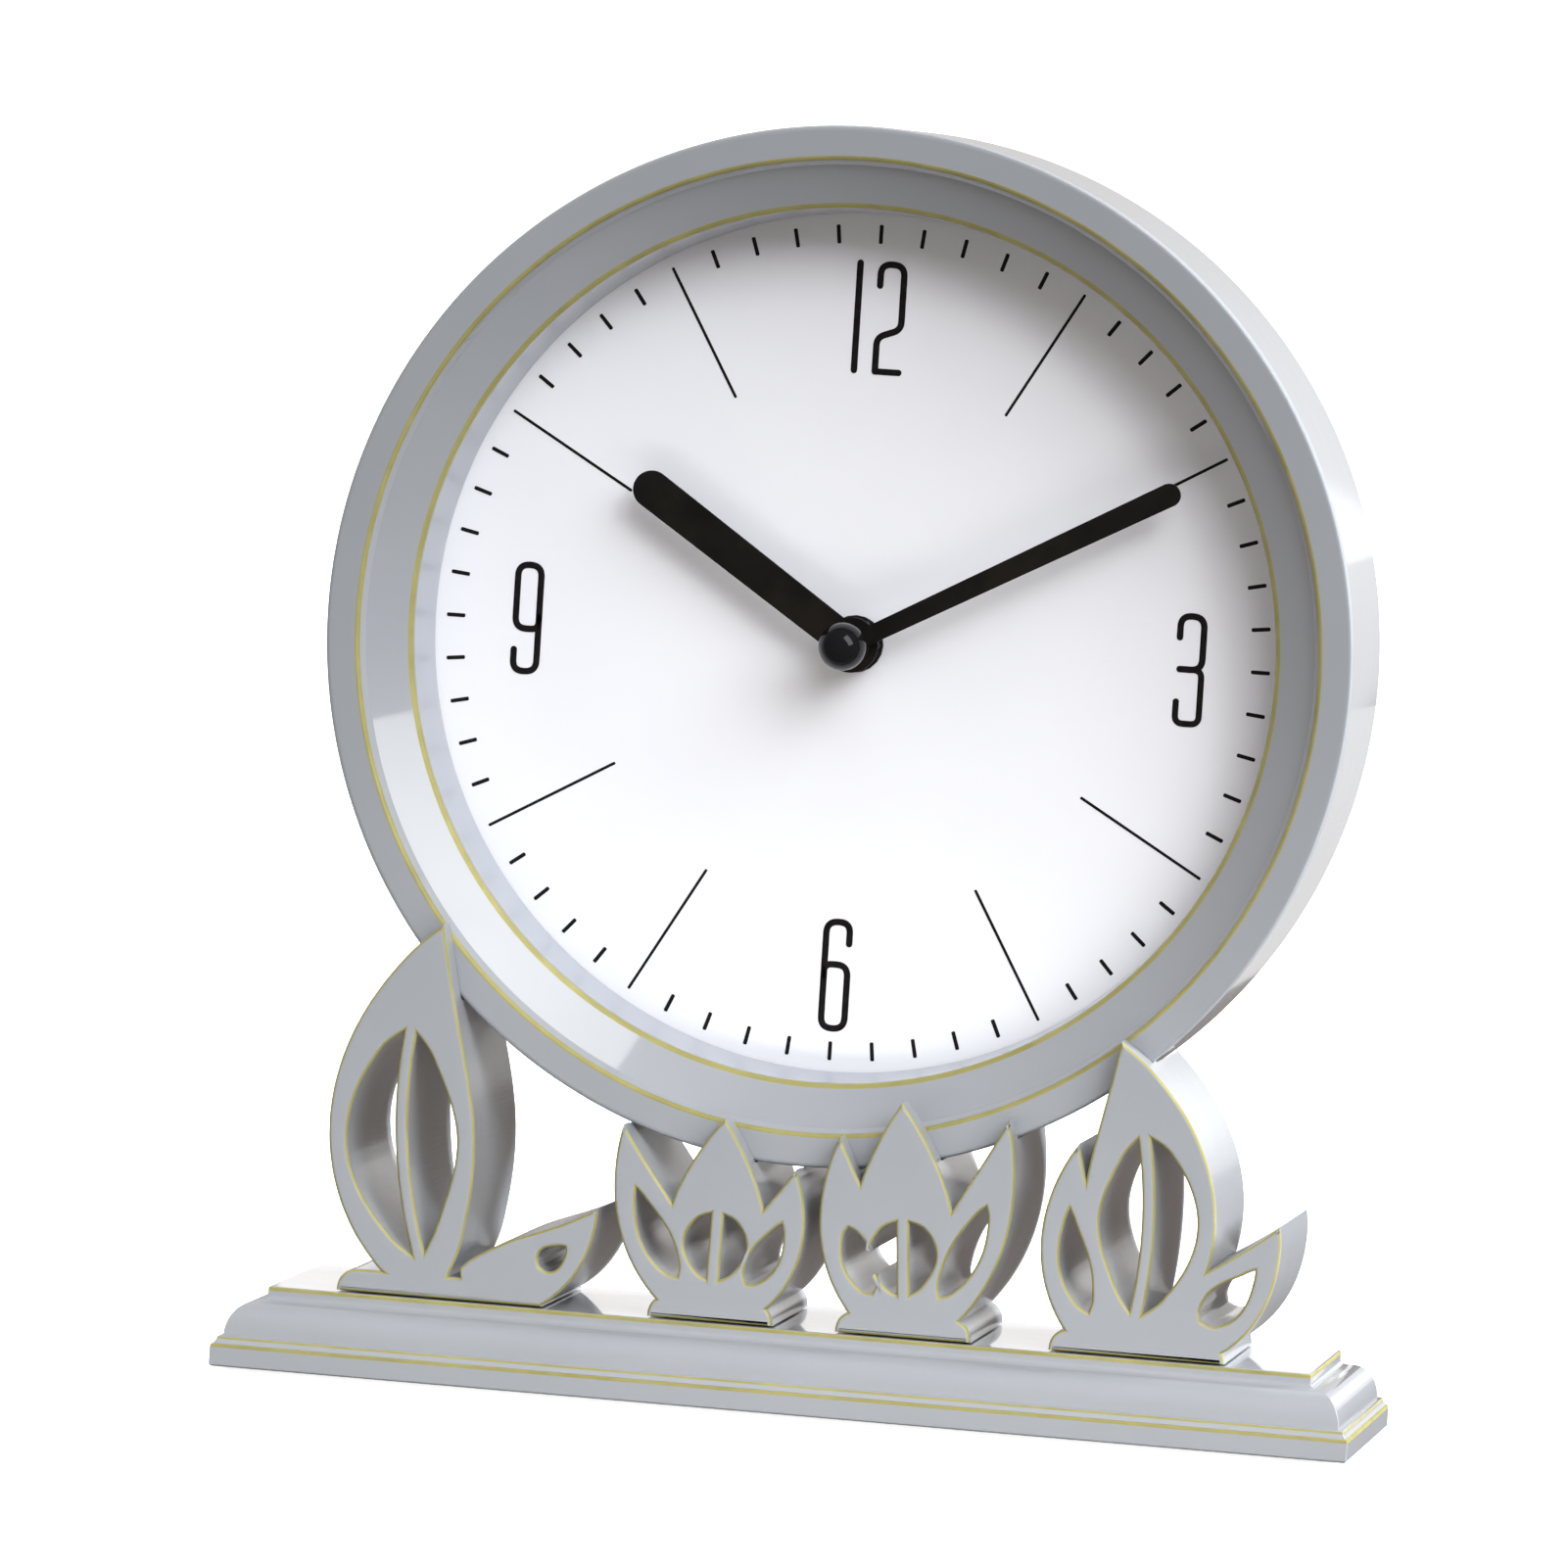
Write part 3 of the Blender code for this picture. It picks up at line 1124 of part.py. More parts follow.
def make_movement_cover():
    half = MOVEMENT_SIZE / 2
    finish = black_plastic()
    outline = rounded_box((-half, cell_top()), (half, half), MOVEMENT_WALL)
    hole = circle(KNOB_ARBOR_RADIUS + RUNNING, ROUND_STEPS, KNOB_AXIS)
    cover = plate("movement_cover", [outline, hole], ROOM_BACK, MOVEMENT_BACK, finish, at_axis(CENTRE))
    boss = circle(ARBOR_RADIUS + PIVOT_BOSS_WALL, ARBOR_STEPS)
    pivot = circle(ARBOR_RADIUS + RUNNING, ARBOR_STEPS)
    for axis in (CENTRE, THIRD_AXIS, INTERMEDIATE_AXIS, ROTOR_AXIS):
        join(cover, plate("boss", [boss], BOSS_FRONT, ROOM_BACK + SEAT, finish, at_axis(axis)))
        cut(cover, plate("hole", [pivot], BOSS_FRONT - SEAT, ROOM_BACK - RUNNING, finish, at_axis(axis)))


def make_bush_and_nut():
    flange_front = ROOM_FRONT + SEAT
    place = at_axis(CENTRE)
    profile = [
        (BUSH_BORE, BUSH_FRONT),
        (BUSH_BORE, flange_front + BUSH_FLANGE),
        (BUSH_FLANGE_RADIUS, flange_front + BUSH_FLANGE),
        (BUSH_FLANGE_RADIUS, flange_front),
        (BUSH_RADIUS, flange_front),
        (BUSH_RADIUS, BUSH_FRONT),
    ]
    turned("threaded_bush", profile, brass(), place)
    hole = circle(BUSH_RADIUS + SEAT)
    washer_front = DIAL_FRONT - SEAT - BRASS_WASHER
    washer = circle(BRASS_WASHER_RADIUS)
    plate("brass_washer", [washer, hole], washer_front, washer_front + BRASS_WASHER, brass(), place)
    nut_front = washer_front - SEAT - NUT_THICKNESS
    hexagon = circle(NUT_FLATS / 2 / math.cos(math.pi / 6), 6)
    plate("hex_nut", [hexagon, hole], nut_front, nut_front + NUT_THICKNESS, brass(), place)
    rubber_front = DIAL_BACK + SEAT
    washer = circle(RUBBER_WASHER_RADIUS)
    plate("rubber_washer", [washer, hole], rubber_front, rubber_front + RUBBER_WASHER, rubber(), place)


# The electrics

BOARD_FRONT = THIRD_WHEEL_FRONT
COIL_Z = MOVEMENT_SIZE / 2 - MOVEMENT_WALL - COIL_RADIUS - SEAT
STATOR_LEFT = ROTOR_AXIS[0] - STATOR_LOBE
COIL_X = STATOR_LEFT + STATOR_LEG + SEAT + COIL_LENGTH / 2
STATOR_RIGHT = COIL_X + COIL_LENGTH / 2 + SEAT


def board_posts():
    x = MOVEMENT_SIZE / 2 - MOVEMENT_WALL - BOARD_WIDTH / 2
    top = MOVEMENT_SIZE / 2 - MOVEMENT_WALL - BOARD_WIDTH / 2
    return [(x, top), (x, cell_top() + MOVEMENT_WALL + BOARD_WIDTH / 2)]


def stator_posts():
    return [(STATOR_LEFT + STATOR_LEG / 2, COIL_Z), (STATOR_RIGHT + STATOR_LEG / 2, COIL_Z)]


def make_stator():
    """Two arms from the rotor's hole to the ends of the coil's core."""
    x, z = ROTOR_AXIS
    top = COIL_Z + STATOR_LEG / 2
    arm = COIL_Z - COIL_RADIUS - STATOR_LEG
    outline = [
        (STATOR_LEFT, z - STATOR_LOBE / 2),
        (STATOR_LEFT + STATOR_LOBE / 2, z - STATOR_LOBE),
        (x + STATOR_LOBE / 2, z - STATOR_LOBE),
        (x + STATOR_LOBE, z - STATOR_LOBE / 2),
        (x + STATOR_LOBE, z + STATOR_LOBE / 2),
        (STATOR_RIGHT + STATOR_LEG, arm),
        (STATOR_RIGHT + STATOR_LEG, top),
        (STATOR_RIGHT, top),
        (STATOR_RIGHT, arm + STATOR_LEG * 3 / 4),
        (x + STATOR_LOBE / 2, z + STATOR_LOBE),
        (STATOR_LEFT + STATOR_LEG, z + STATOR_LOBE),
        (STATOR_LEFT + STATOR_LEG, top),
        (STATOR_LEFT, top),
    ]
    hole = circle(MAGNET_RADIUS + FREE, ROUND_STEPS, ROTOR_AXIS)
    plate("stator", [outline, hole], STATOR_FRONT, STATOR_FRONT + STATOR_THICKNESS, steel(), at_axis(CENTRE))


def make_coil():
    core_back = STATOR_FRONT - SEAT
    core_front = core_back - STATOR_THICKNESS
    axis_y = (core_front + core_back) / 2
    half = COIL_LENGTH / 2
    winding = COIL_RADIUS - COIL_FLANGE / 2
    profile = [
        (0, -half), (COIL_RADIUS, -half), (COIL_RADIUS, -half + COIL_FLANGE), (winding, -half + COIL_FLANGE),
        (winding, half - COIL_FLANGE), (COIL_RADIUS, half - COIL_FLANGE), (COIL_RADIUS, half), (0, half),
    ]
    coil = turned("coil", profile, copper())
    coil.rotation_euler = (0, 0, -90 * DEG)
    coil.location = (COIL_X, axis_y, DRUM_Z + COIL_Z)
    z = DRUM_Z + COIL_Z
    core = STATOR_LEG / 4
    slot = core + SEAT
    slot_low = (COIL_X - COIL_LENGTH, core_front - SEAT, z - slot)
    slot_high = (COIL_X + COIL_LENGTH, core_back + SEAT, z + slot)
    cut(coil, block("slot", slot_low, slot_high, copper()))
    core_low = (STATOR_LEFT + SEAT, core_front, z - core)
    core_high = (STATOR_RIGHT + STATOR_LEG - SEAT, core_back, z + core)
    block("coil_core", core_low, core_high, steel())


def make_board():
    right = MOVEMENT_SIZE / 2 - MOVEMENT_WALL - SEAT
    left = right - BOARD_WIDTH
    low = cell_top() + MOVEMENT_WALL + SEAT
    top = right
    outline = rounded_box((left, low), (right, top), RIM_ROUND, 2)
    board_back = BOARD_FRONT + BOARD_THICKNESS
    plate("circuit_board", [outline], BOARD_FRONT, board_back, board_green(), at_axis(CENTRE))
    middle = (left + right) / 2
    chip_z = DRUM_Z + (low + top) / 2
    reach = BOARD_WIDTH / 4
    block("clock_chip", (middle - reach, board_back + SEAT, chip_z - reach),
          (middle + reach, board_back + SEAT + CRYSTAL_RADIUS, chip_z + reach), black_plastic())
    profile = [(0, 0), (CRYSTAL_RADIUS, 0), (CRYSTAL_RADIUS, CRYSTAL_LENGTH), (0, CRYSTAL_LENGTH)]
    can = turned("quartz_crystal", profile, steel(), steps=ARBOR_STEPS)
    can.rotation_euler = (90 * DEG, 0, 0)
    can.location = (middle, board_back + SEAT + CRYSTAL_RADIUS, chip_z + 2 * reach)


def make_cell():
    z = DRUM_Z - MOVEMENT_SIZE / 2 + MOVEMENT_WALL + CELL_RADIUS + SEAT
    y = ROOM_FRONT + CELL_RADIUS + SEAT
    half = (CELL_LENGTH + CELL_NUB) / 2
    profile = [
        (0, -half), (CELL_RADIUS - RIM_ROUND, -half), (CELL_RADIUS, -half + RIM_ROUND),
        (CELL_RADIUS, half - CELL_NUB - RIM_ROUND), (CELL_RADIUS - RIM_ROUND, half - CELL_NUB),
        (CELL_NUB_RADIUS, half - CELL_NUB), (CELL_NUB_RADIUS, half), (0, half),
    ]
    cell = turned("cell", profile, cell_wrap())
    cell.rotation_euler = (0, 0, -90 * DEG)
    cell.location = (0, y, z)
    wall = MOVEMENT_SIZE / 2 - MOVEMENT_WALL
    for name, sign in (("contact_positive", 1), ("contact_negative", -1)):
        outer = sign * (wall - SEAT)
        inner = outer - sign * CONTACT_THICKNESS
        tongue = sign * (half + SEAT)
        reach = CELL_RADIUS * CONTACT_SHARE
        bow = reach / 3
        outline = [
            (outer, y - reach), (outer, y + reach), (inner, y + reach),
            (tongue + sign * CONTACT_THICKNESS, y + bow), (tongue, y + bow / 2),
            (tongue, y - bow / 2), (tongue + sign * CONTACT_THICKNESS, y - bow), (inner, y - reach),
        ]
        make_contact(name, outline, z - reach, z + reach)


def make_contact(name, outline, low, high):
    """A bent strip: an outline in plan (x, y), as high as the cell's end."""
    form = bmesh.new()
    lower = [form.verts.new((x, y, low)) for x, y in outline]
    upper = [form.verts.new((x, y, high)) for x, y in outline]
    wall_between(form, lower, upper)
    fill_between(form, lower)
    fill_between(form, upper)
    make_object(name, form, steel())


def make_clock():
    clear_scene()
    make_plinth()
    make_base_plate()
    make_base_plate_screws()
    make_feet()
    for name in SUPPORTS:
        make_support(name)
    make_support_screws()
    make_drum_screws()
    make_drum()
    make_dial()
    make_rear_cover()
    phases = wheel_phases()
    make_minute_arbor(phases)
    make_hour_wheel(phases)
    make_motion_wheel(phases)
    make_centre_wheel(phases)
    make_train(phases)
    make_setting_knob(phases)
    make_hands()
    make_movement_case()
    make_movement_cover()
    make_bush_and_nut()
    make_stator()
    make_coil()
    make_board()
    make_cell()


make_clock()
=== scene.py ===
# %% [markdown]
# # A round table clock on leaf supports
# This notebook dresses a clock that was engineered first: its gears, screws and shells exist as solids.
# Here each visible piece gets the soft edges, gold lines, print and lacquer of the real object.
# Every step first says what the piece is and why it is made this way.

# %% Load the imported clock
import math

import bpy
from mathutils import Matrix, Vector


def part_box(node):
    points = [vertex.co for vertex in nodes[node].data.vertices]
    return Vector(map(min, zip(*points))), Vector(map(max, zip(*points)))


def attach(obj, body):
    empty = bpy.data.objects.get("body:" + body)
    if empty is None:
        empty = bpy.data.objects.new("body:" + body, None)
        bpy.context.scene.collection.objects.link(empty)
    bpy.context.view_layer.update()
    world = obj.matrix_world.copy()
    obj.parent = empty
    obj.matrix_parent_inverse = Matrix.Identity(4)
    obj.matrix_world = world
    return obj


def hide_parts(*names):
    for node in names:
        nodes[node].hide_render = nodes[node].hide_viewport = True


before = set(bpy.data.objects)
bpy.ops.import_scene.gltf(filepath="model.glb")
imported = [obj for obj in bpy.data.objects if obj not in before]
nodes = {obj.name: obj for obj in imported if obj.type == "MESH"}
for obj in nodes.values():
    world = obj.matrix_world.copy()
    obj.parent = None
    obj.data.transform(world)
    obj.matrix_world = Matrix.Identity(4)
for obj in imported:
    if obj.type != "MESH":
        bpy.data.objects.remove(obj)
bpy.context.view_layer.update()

MM = 0.001

# %% [markdown]
# ## Places that everything is measured from
# The solids already say where the clock is, so no size is typed twice.
# The drum's box gives the axis of the hands, the dial's the depth of the print,
# and the plinth's its length, depth and height.

# %% Axis of the hands, dial face, rim and plinth
drum_low, drum_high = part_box("drum_case")
dial_low, dial_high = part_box("dial")
plinth_low, plinth_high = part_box("plinth")
support_low, support_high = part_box("leaf_support_left")
AXIS_Z = (drum_low.z + drum_high.z) / 2
RIM = drum_low.y
DRUM_BACK = drum_high.y
DRUM_RADIUS = (drum_high.x - drum_low.x) / 2
DIAL_FACE = dial_low.y
SUPPORT_FRONT = support_low.y
SUPPORT_BACK = support_high.y
print("axis height %.1f mm, rim at %.1f mm, dial at %.1f mm" % (AXIS_Z / MM, RIM / MM, DIAL_FACE / MM))

# %% [markdown]
# ## Helpers for working by hand
# A modeller clicks on one thing at a time, and so does a script.
# `pick` leaves only one object selected, and `add` makes a primitive while nothing else is selected.
# `press` uses a modifier and applies it, and `combine` does that with a second piece, which is used up.

# %% Pick, edit, add and press
CLOSE = 1e-6          # metres between points that are merged
SAME = 1e-7           # metres between points that count as one place
FACING_FRONT = (math.radians(90), 0, 0)


def pick(piece):
    if bpy.context.object and bpy.context.object.mode != "OBJECT":
        bpy.ops.object.mode_set(mode="OBJECT")
    bpy.ops.object.select_all(action="DESELECT")
    piece.select_set(True)
    bpy.context.view_layer.objects.active = piece


def leave_edit():
    bpy.ops.object.mode_set(mode="OBJECT")


def edit(piece, mode="VERT"):
    pick(piece)
    bpy.ops.object.mode_set(mode="EDIT")
    bpy.ops.mesh.select_mode(type=mode)
    bpy.ops.mesh.select_all(action="SELECT")


def add(primitive, stretch=(1, 1, 1), **settings):
    """Add a primitive, stretch it, and put its place, turn and size into its mesh."""
    bpy.ops.object.select_all(action="DESELECT")
    primitive(**settings)
    made = bpy.context.object
    made.scale = stretch
    bpy.ops.object.transform_apply(location=True, rotation=True, scale=True)
    return made


def block(size, centre):
    return add(bpy.ops.mesh.primitive_cube_add, size, size=1, location=centre)


def disc(radius, thick, centre, vertices):
    """A cylinder whose axis runs from front to back."""
    return add(bpy.ops.mesh.primitive_cylinder_add, vertices=vertices, radius=radius, depth=thick,
               location=centre, rotation=FACING_FRONT)


def press(piece, kind, **settings):
    """Add a modifier, set it and apply it."""
    pick(piece)
    modifier = piece.modifiers.new(kind.lower(), kind)
    for name, value in settings.items():
        setattr(modifier, name, value)
    bpy.ops.object.modifier_apply(modifier=modifier.name)


def soften(piece, width, segments, degrees):
    """Bevel every edge that is sharper than an angle."""
    press(piece, "BEVEL", width=width, segments=segments, limit_method="ANGLE",
          angle_limit=math.radians(degrees))


def combine(piece, other, operation="DIFFERENCE"):
    """Cut another piece away, or weld it on, and throw it away."""
    press(piece, "BOOLEAN", operation=operation, solver="EXACT", object=other)
    bpy.data.objects.remove(other, do_unlink=True)


print("hand tools ready")

# %% [markdown]
# `bevel_some` rounds only the edges that a test picks, and `copy_of` gives each copy a mesh of its own.
# `close_up` welds a piece, and `settle` puts its place into its mesh,
# so that its object rests at the origin and its patterns, which are laid out in object space, stay put.
# It also shades the piece smooth below an angle and lets large faces rule the shading,
# so that only the small edge faces look round and the flats stay flat in reflections.
# `hang` says which moving body the piece belongs to and which solid it stands for.

# %% Bevel, copy, join, settle and hang
def bevel_some(piece, wanted, offset, segments):
    """Round the edges whose two ends pass a test."""
    edit(piece, "EDGE")
    bpy.ops.mesh.select_all(action="DESELECT")
    leave_edit()
    for edge in piece.data.edges:
        edge.select = wanted(*(piece.data.vertices[i].co for i in edge.vertices))
    bpy.ops.object.mode_set(mode="EDIT")
    bpy.ops.mesh.bevel(offset=offset, segments=segments, affect="EDGES")
    leave_edit()
    return piece


def front_to_back(first, second):
    """True for an edge that runs straight from front to back."""
    return abs(first.x - second.x) < SAME and abs(first.z - second.z) < SAME


def turn_round_axis(degrees):
    """A turn round the axis of the hands, clockwise for a reader of the dial."""
    axis = Matrix.Translation((0, 0, AXIS_Z))
    return axis @ Matrix.Rotation(math.radians(degrees), 4, "Y") @ axis.inverted()


def copy_of(piece, matrix):
    copy = piece.copy()
    copy.data = piece.data.copy()
    bpy.context.scene.collection.objects.link(copy)
    copy.data.transform(matrix)
    return copy


def join(pieces, name):
    pick(pieces[0])
    for piece in pieces[1:]:
        piece.select_set(True)
    bpy.ops.object.join()
    pieces[0].name = name
    pieces[0].data.name = name
    return pieces[0]


def close_up(piece, outwards=True):
    """Merge points that coincide and turn all faces outwards."""
    edit(piece)
    bpy.ops.mesh.remove_doubles(threshold=CLOSE)
    if outwards:
        bpy.ops.mesh.normals_make_consistent(inside=False)
    leave_edit()
    return piece


def dress(piece, *finishes):
    piece.data.materials.clear()
    for finish in finishes:
        piece.data.materials.append(finish.material)


def settle(piece, name, smooth):
    pick(piece)
    bpy.ops.object.transform_apply(location=True, rotation=True, scale=True)
    bpy.ops.object.shade_smooth_by_angle(angle=math.radians(smooth))
    press(piece, "WEIGHTED_NORMAL", mode="FACE_AREA", weight=100, keep_sharp=True)
    piece.name = name
    piece.data.name = name


def hang(piece, body, slot, *stands_for):
    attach(piece, body)
    if stands_for:
        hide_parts(*stands_for)


print("helpers ready")

# %% [markdown]
# ## Finishes
# A finish is a small recipe of nodes around one shader.
# Each reads object coordinates in metres, so a noise scale of 600 has grains of about 1.6 mm.
# Values that are the same all over are set on the shader, and only what varies comes from nodes.

# %% A starting point for every finish
class Finish:
    """One material: its shader, and short ways to vary colour, roughness and relief."""

    def __init__(self, name, colour, roughness, metallic=0.0, **shader_values):
        self.material = bpy.data.materials.new(name)
        self.material.use_nodes = True
        self.tree = self.material.node_tree
        self.shader = self.tree.nodes["Principled BSDF"]
        self.shader.inputs["Base Color"].default_value = (*colour, 1)
        self.shader.inputs["Roughness"].default_value = roughness
        self.shader.inputs["Metallic"].default_value = metallic
        for socket, value in shader_values.items():
            self.shader.inputs[socket.replace("_", " ")].default_value = value
        self.place = self.node("ShaderNodeTexCoord").outputs["Object"]
        self.relief = None

    def node(self, kind, **settings):
        made = self.tree.nodes.new(kind)
        for name, value in settings.items():
            setattr(made, name, value)
        return made

    def wire(self, start, end):
        self.tree.links.new(start, end)

    def stretched(self, stretch):
        mapping = self.node("ShaderNodeMapping")
        mapping.inputs["Scale"].default_value = stretch
        self.wire(self.place, mapping.inputs["Vector"])
        return mapping.outputs["Vector"]

    def noise(self, scale, detail=3.0, stretch=None):
        made = self.node("ShaderNodeTexNoise")
        made.inputs["Scale"].default_value = scale
        made.inputs["Detail"].default_value = detail
        self.wire(self.stretched(stretch) if stretch else self.place, made.inputs["Vector"])
        return made.outputs["Fac"]

    def between(self, value, low, high, start=0.3, end=0.7):
        ranged = self.node("ShaderNodeMapRange")
        ranged.inputs["From Min"].default_value = start
        ranged.inputs["From Max"].default_value = end
        ranged.inputs["To Min"].default_value = low
        ranged.inputs["To Max"].default_value = high
        self.wire(value, ranged.inputs["Value"])
        return ranged.outputs["Result"]

    def vary_colour(self, value, first, second, start=0.35, end=0.65):
        mix = self.node("ShaderNodeMix", data_type="RGBA")
        mix.inputs["A"].default_value = (*first, 1)
        mix.inputs["B"].default_value = (*second, 1)
        self.wire(self.between(value, 0.0, 1.0, start, end), mix.inputs["Factor"])
        self.wire(mix.outputs["Result"], self.shader.inputs["Base Color"])

    def vary_roughness(self, value, low, high):
        self.wire(self.between(value, low, high), self.shader.inputs["Roughness"])

    def emboss(self, value, depth, strength=1.0):
        bump = self.node("ShaderNodeBump")
        bump.inputs["Strength"].default_value = strength
        bump.inputs["Distance"].default_value = depth
        self.wire(value, bump.inputs["Height"])
        if self.relief:
            self.wire(self.relief, bump.inputs["Normal"])
        self.relief = bump.outputs["Normal"]
        self.wire(self.relief, self.shader.inputs["Normal"])


print("finish recipe ready")

# %% [markdown]
# ### Grey-blue lacquer
# The case, the supports and the plinth are moulded and then sprayed with a satin lacquer.
# Sprayed lacquer has a faint orange peel, and its tone drifts over a hand's width.
# A thin clear coat over a rougher base gives the sharp pale reflection along the rim.
# Where a support was sawn, the saw's fine lines from front to back still show through the lacquer,
# and the narrow wall around the dial gets a rougher coat without the mirror and a bluer, paler tone,
# which is painted cool light.

# %% Lacquer
def spray_lacquer(name, coat_roughness):
    finish = Finish(name, (0.300, 0.313, 0.328), 0.36, Coat_Weight=1.0, Coat_IOR=1.6,
                    Coat_Roughness=coat_roughness)
    finish.vary_colour(finish.noise(14.0, 4.0), (0.292, 0.305, 0.319), (0.308, 0.321, 0.337))
    finish.vary_roughness(finish.noise(45.0), 0.30, 0.40)
    finish.emboss(finish.noise(520.0, 2.0), 0.00004, 0.35)
    finish.emboss(finish.noise(60.0, 2.0), 0.0002, 0.12)
    return finish


lacquer = spray_lacquer("grey_blue_lacquer", 0.05)
sawn_side = spray_lacquer("lacquer_on_sawn_side", 0.16)
sawn_side.emboss(sawn_side.noise(1500.0, 3.0, (1.0, 0.06, 1.0)), 0.00012, 0.6)
# Painted light: the well wall's lacquer is tinted bluer and paler, standing in for cool light falling on
# that wall.
well_lacquer_painted_cool_light = spray_lacquer("well_lacquer_with_painted_cool_light", 0.4)
well_lacquer_painted_cool_light.vary_colour(well_lacquer_painted_cool_light.noise(14.0, 4.0), (0.305, 0.325, 0.362), (0.322, 0.343, 0.382))
print(lacquer.material.name, sawn_side.material.name, well_lacquer_painted_cool_light.material.name)

# %% [markdown]
# ### Gold pin-line paint
# The edges are lined by hand with an olive-gold bronze paint.
# It is a shade thinner in places, so slightly darker and paler stretches follow each other,
# and it is only a little metallic, because the bronze flakes lie deep in a clear binder.

# %% Gold paint
gold = Finish("gold_line_paint", (0.33, 0.30, 0.10), 0.5, 0.2)
gold.vary_colour(gold.noise(110.0), (0.29, 0.265, 0.085), (0.37, 0.335, 0.12), 0.3, 0.7)
gold.vary_roughness(gold.noise(420.0), 0.42, 0.6)
gold.emboss(gold.noise(900.0, 2.0), 0.00002, 0.3)
print(gold.material.name)

# %% [markdown]
# ### Dial paper and printing ink
# The dial is coated white paper on a disc, and the marks are a dense black ink.
# Paper needs a very fine tooth, and ink a slightly brown black with a soft sheen.

# %% Paper and ink
paper = Finish("dial_paper", (0.79, 0.785, 0.80), 0.62, Specular_IOR_Level=0.3)
paper.vary_colour(paper.noise(30.0, 5.0), (0.785, 0.78, 0.795), (0.80, 0.795, 0.81))
paper.emboss(paper.noise(2600.0, 2.0), 0.00001, 0.25)
ink = Finish("dial_ink", (0.006, 0.005, 0.005), 0.45, Specular_IOR_Level=0.15)
ink.vary_colour(ink.noise(700.0), (0.005, 0.004, 0.004), (0.010, 0.008, 0.008))
ink.emboss(ink.noise(1800.0, 2.0), 0.00001, 0.3)
print(paper.material.name, ink.material.name)

# %% [markdown]
# ### Hand paint and the glossy cap
# The hands are sheet metal under a matt black powder paint, which has a fine even grain.
# The ball in the middle is polished black plastic, almost a mirror, with the lightest handling marks.

# %% Black paint and gloss black
hand_paint = Finish("matt_hand_paint", (0.007, 0.006, 0.006), 0.5, Specular_IOR_Level=0.12)
hand_paint.vary_colour(hand_paint.noise(90.0, 4.0), (0.005, 0.005, 0.0045), (0.011, 0.009, 0.007))
hand_paint.vary_roughness(hand_paint.noise(240.0), 0.42, 0.58)
hand_paint.emboss(hand_paint.noise(2400.0, 2.0), 0.00002, 0.4)
gloss_black = Finish("gloss_black", (0.006, 0.006, 0.007), 0.06, Specular_IOR_Level=0.3)
gloss_black.vary_roughness(gloss_black.noise(500.0, 4.0), 0.04, 0.10)
print(hand_paint.material.name, gloss_black.material.name)

# %% [markdown]
# ### Moulded plastics, rubber and metals behind the dial
# Black covers have a spark-eroded grain from their mould,
# the wheels are milky acetal, the turned parts show fine rings, and rubber is dull and slightly dusty.

# %% Plastics
black_plastic = Finish("grained_black_plastic", (0.022, 0.022, 0.024), 0.55)
black_plastic.vary_colour(black_plastic.noise(25.0, 4.0), (0.020, 0.020, 0.022), (0.030, 0.030, 0.032))
black_plastic.vary_roughness(black_plastic.noise(160.0), 0.48, 0.62)
black_plastic.emboss(black_plastic.noise(1500.0), 0.00006, 0.5)
acetal = Finish("milky_acetal", (0.56, 0.55, 0.52), 0.42, Subsurface_Weight=0.15, Subsurface_Scale=0.001)
acetal.vary_colour(acetal.noise(120.0), (0.54, 0.53, 0.50), (0.58, 0.57, 0.54))
acetal.emboss(acetal.noise(1300.0, 2.0), 0.00002, 0.3)
rubber = Finish("grey_black_rubber", (0.035, 0.035, 0.034), 0.8)
rubber.vary_colour(rubber.noise(80.0, 4.0), (0.030, 0.030, 0.029), (0.055, 0.054, 0.052))
rubber.vary_roughness(rubber.noise(300.0), 0.7, 0.9)
rubber.emboss(rubber.noise(1900.0), 0.00005, 0.5)
wrap = Finish("cell_wrap", (0.10, 0.12, 0.17), 0.3, Coat_Weight=0.4, Coat_Roughness=0.12)
wrap.vary_colour(wrap.noise(60.0), (0.095, 0.115, 0.165), (0.12, 0.14, 0.19))
wrap.emboss(wrap.noise(400.0, 2.0), 0.00003, 0.3)
board = Finish("board_mask", (0.02, 0.15, 0.06), 0.4)
board.vary_colour(board.noise(500.0), (0.015, 0.13, 0.05), (0.03, 0.19, 0.08))
board.emboss(board.noise(1500.0, 2.0), 0.00003, 0.4)
print("plastics ready")

# %% Metals
steel = Finish("zinc_plated_steel", (0.58, 0.59, 0.61), 0.32, 1.0)
steel.vary_colour(steel.noise(300.0, 4.0), (0.52, 0.53, 0.56), (0.66, 0.66, 0.66))
steel.vary_roughness(steel.noise(900.0, 3.0, (1, 6, 1)), 0.22, 0.42)
steel.emboss(steel.noise(2600.0, 2.0), 0.00001, 0.3)
brass = Finish("turned_brass", (0.78, 0.58, 0.26), 0.3, 1.0)
brass.vary_colour(brass.noise(260.0, 4.0), (0.72, 0.52, 0.22), (0.84, 0.65, 0.32))
brass.vary_roughness(brass.noise(1200.0, 3.0, (1, 8, 1)), 0.2, 0.4)
brass.emboss(brass.noise(2200.0, 2.0), 0.00001, 0.3)
blackened = Finish("blackened_metal", (0.02, 0.02, 0.021), 0.4, 0.6)
blackened.vary_colour(blackened.noise(400.0), (0.016, 0.016, 0.017), (0.035, 0.034, 0.033))
blackened.emboss(blackened.noise(1800.0, 2.0), 0.00001, 0.3)
copper = Finish("enamelled_copper", (0.62, 0.24, 0.10), 0.3, 0.9)
copper.vary_colour(copper.noise(900.0), (0.52, 0.18, 0.07), (0.74, 0.32, 0.15))
copper.emboss(copper.noise(3500.0, 2.0, (4, 1, 1)), 0.00004, 0.6)
print("metals ready")

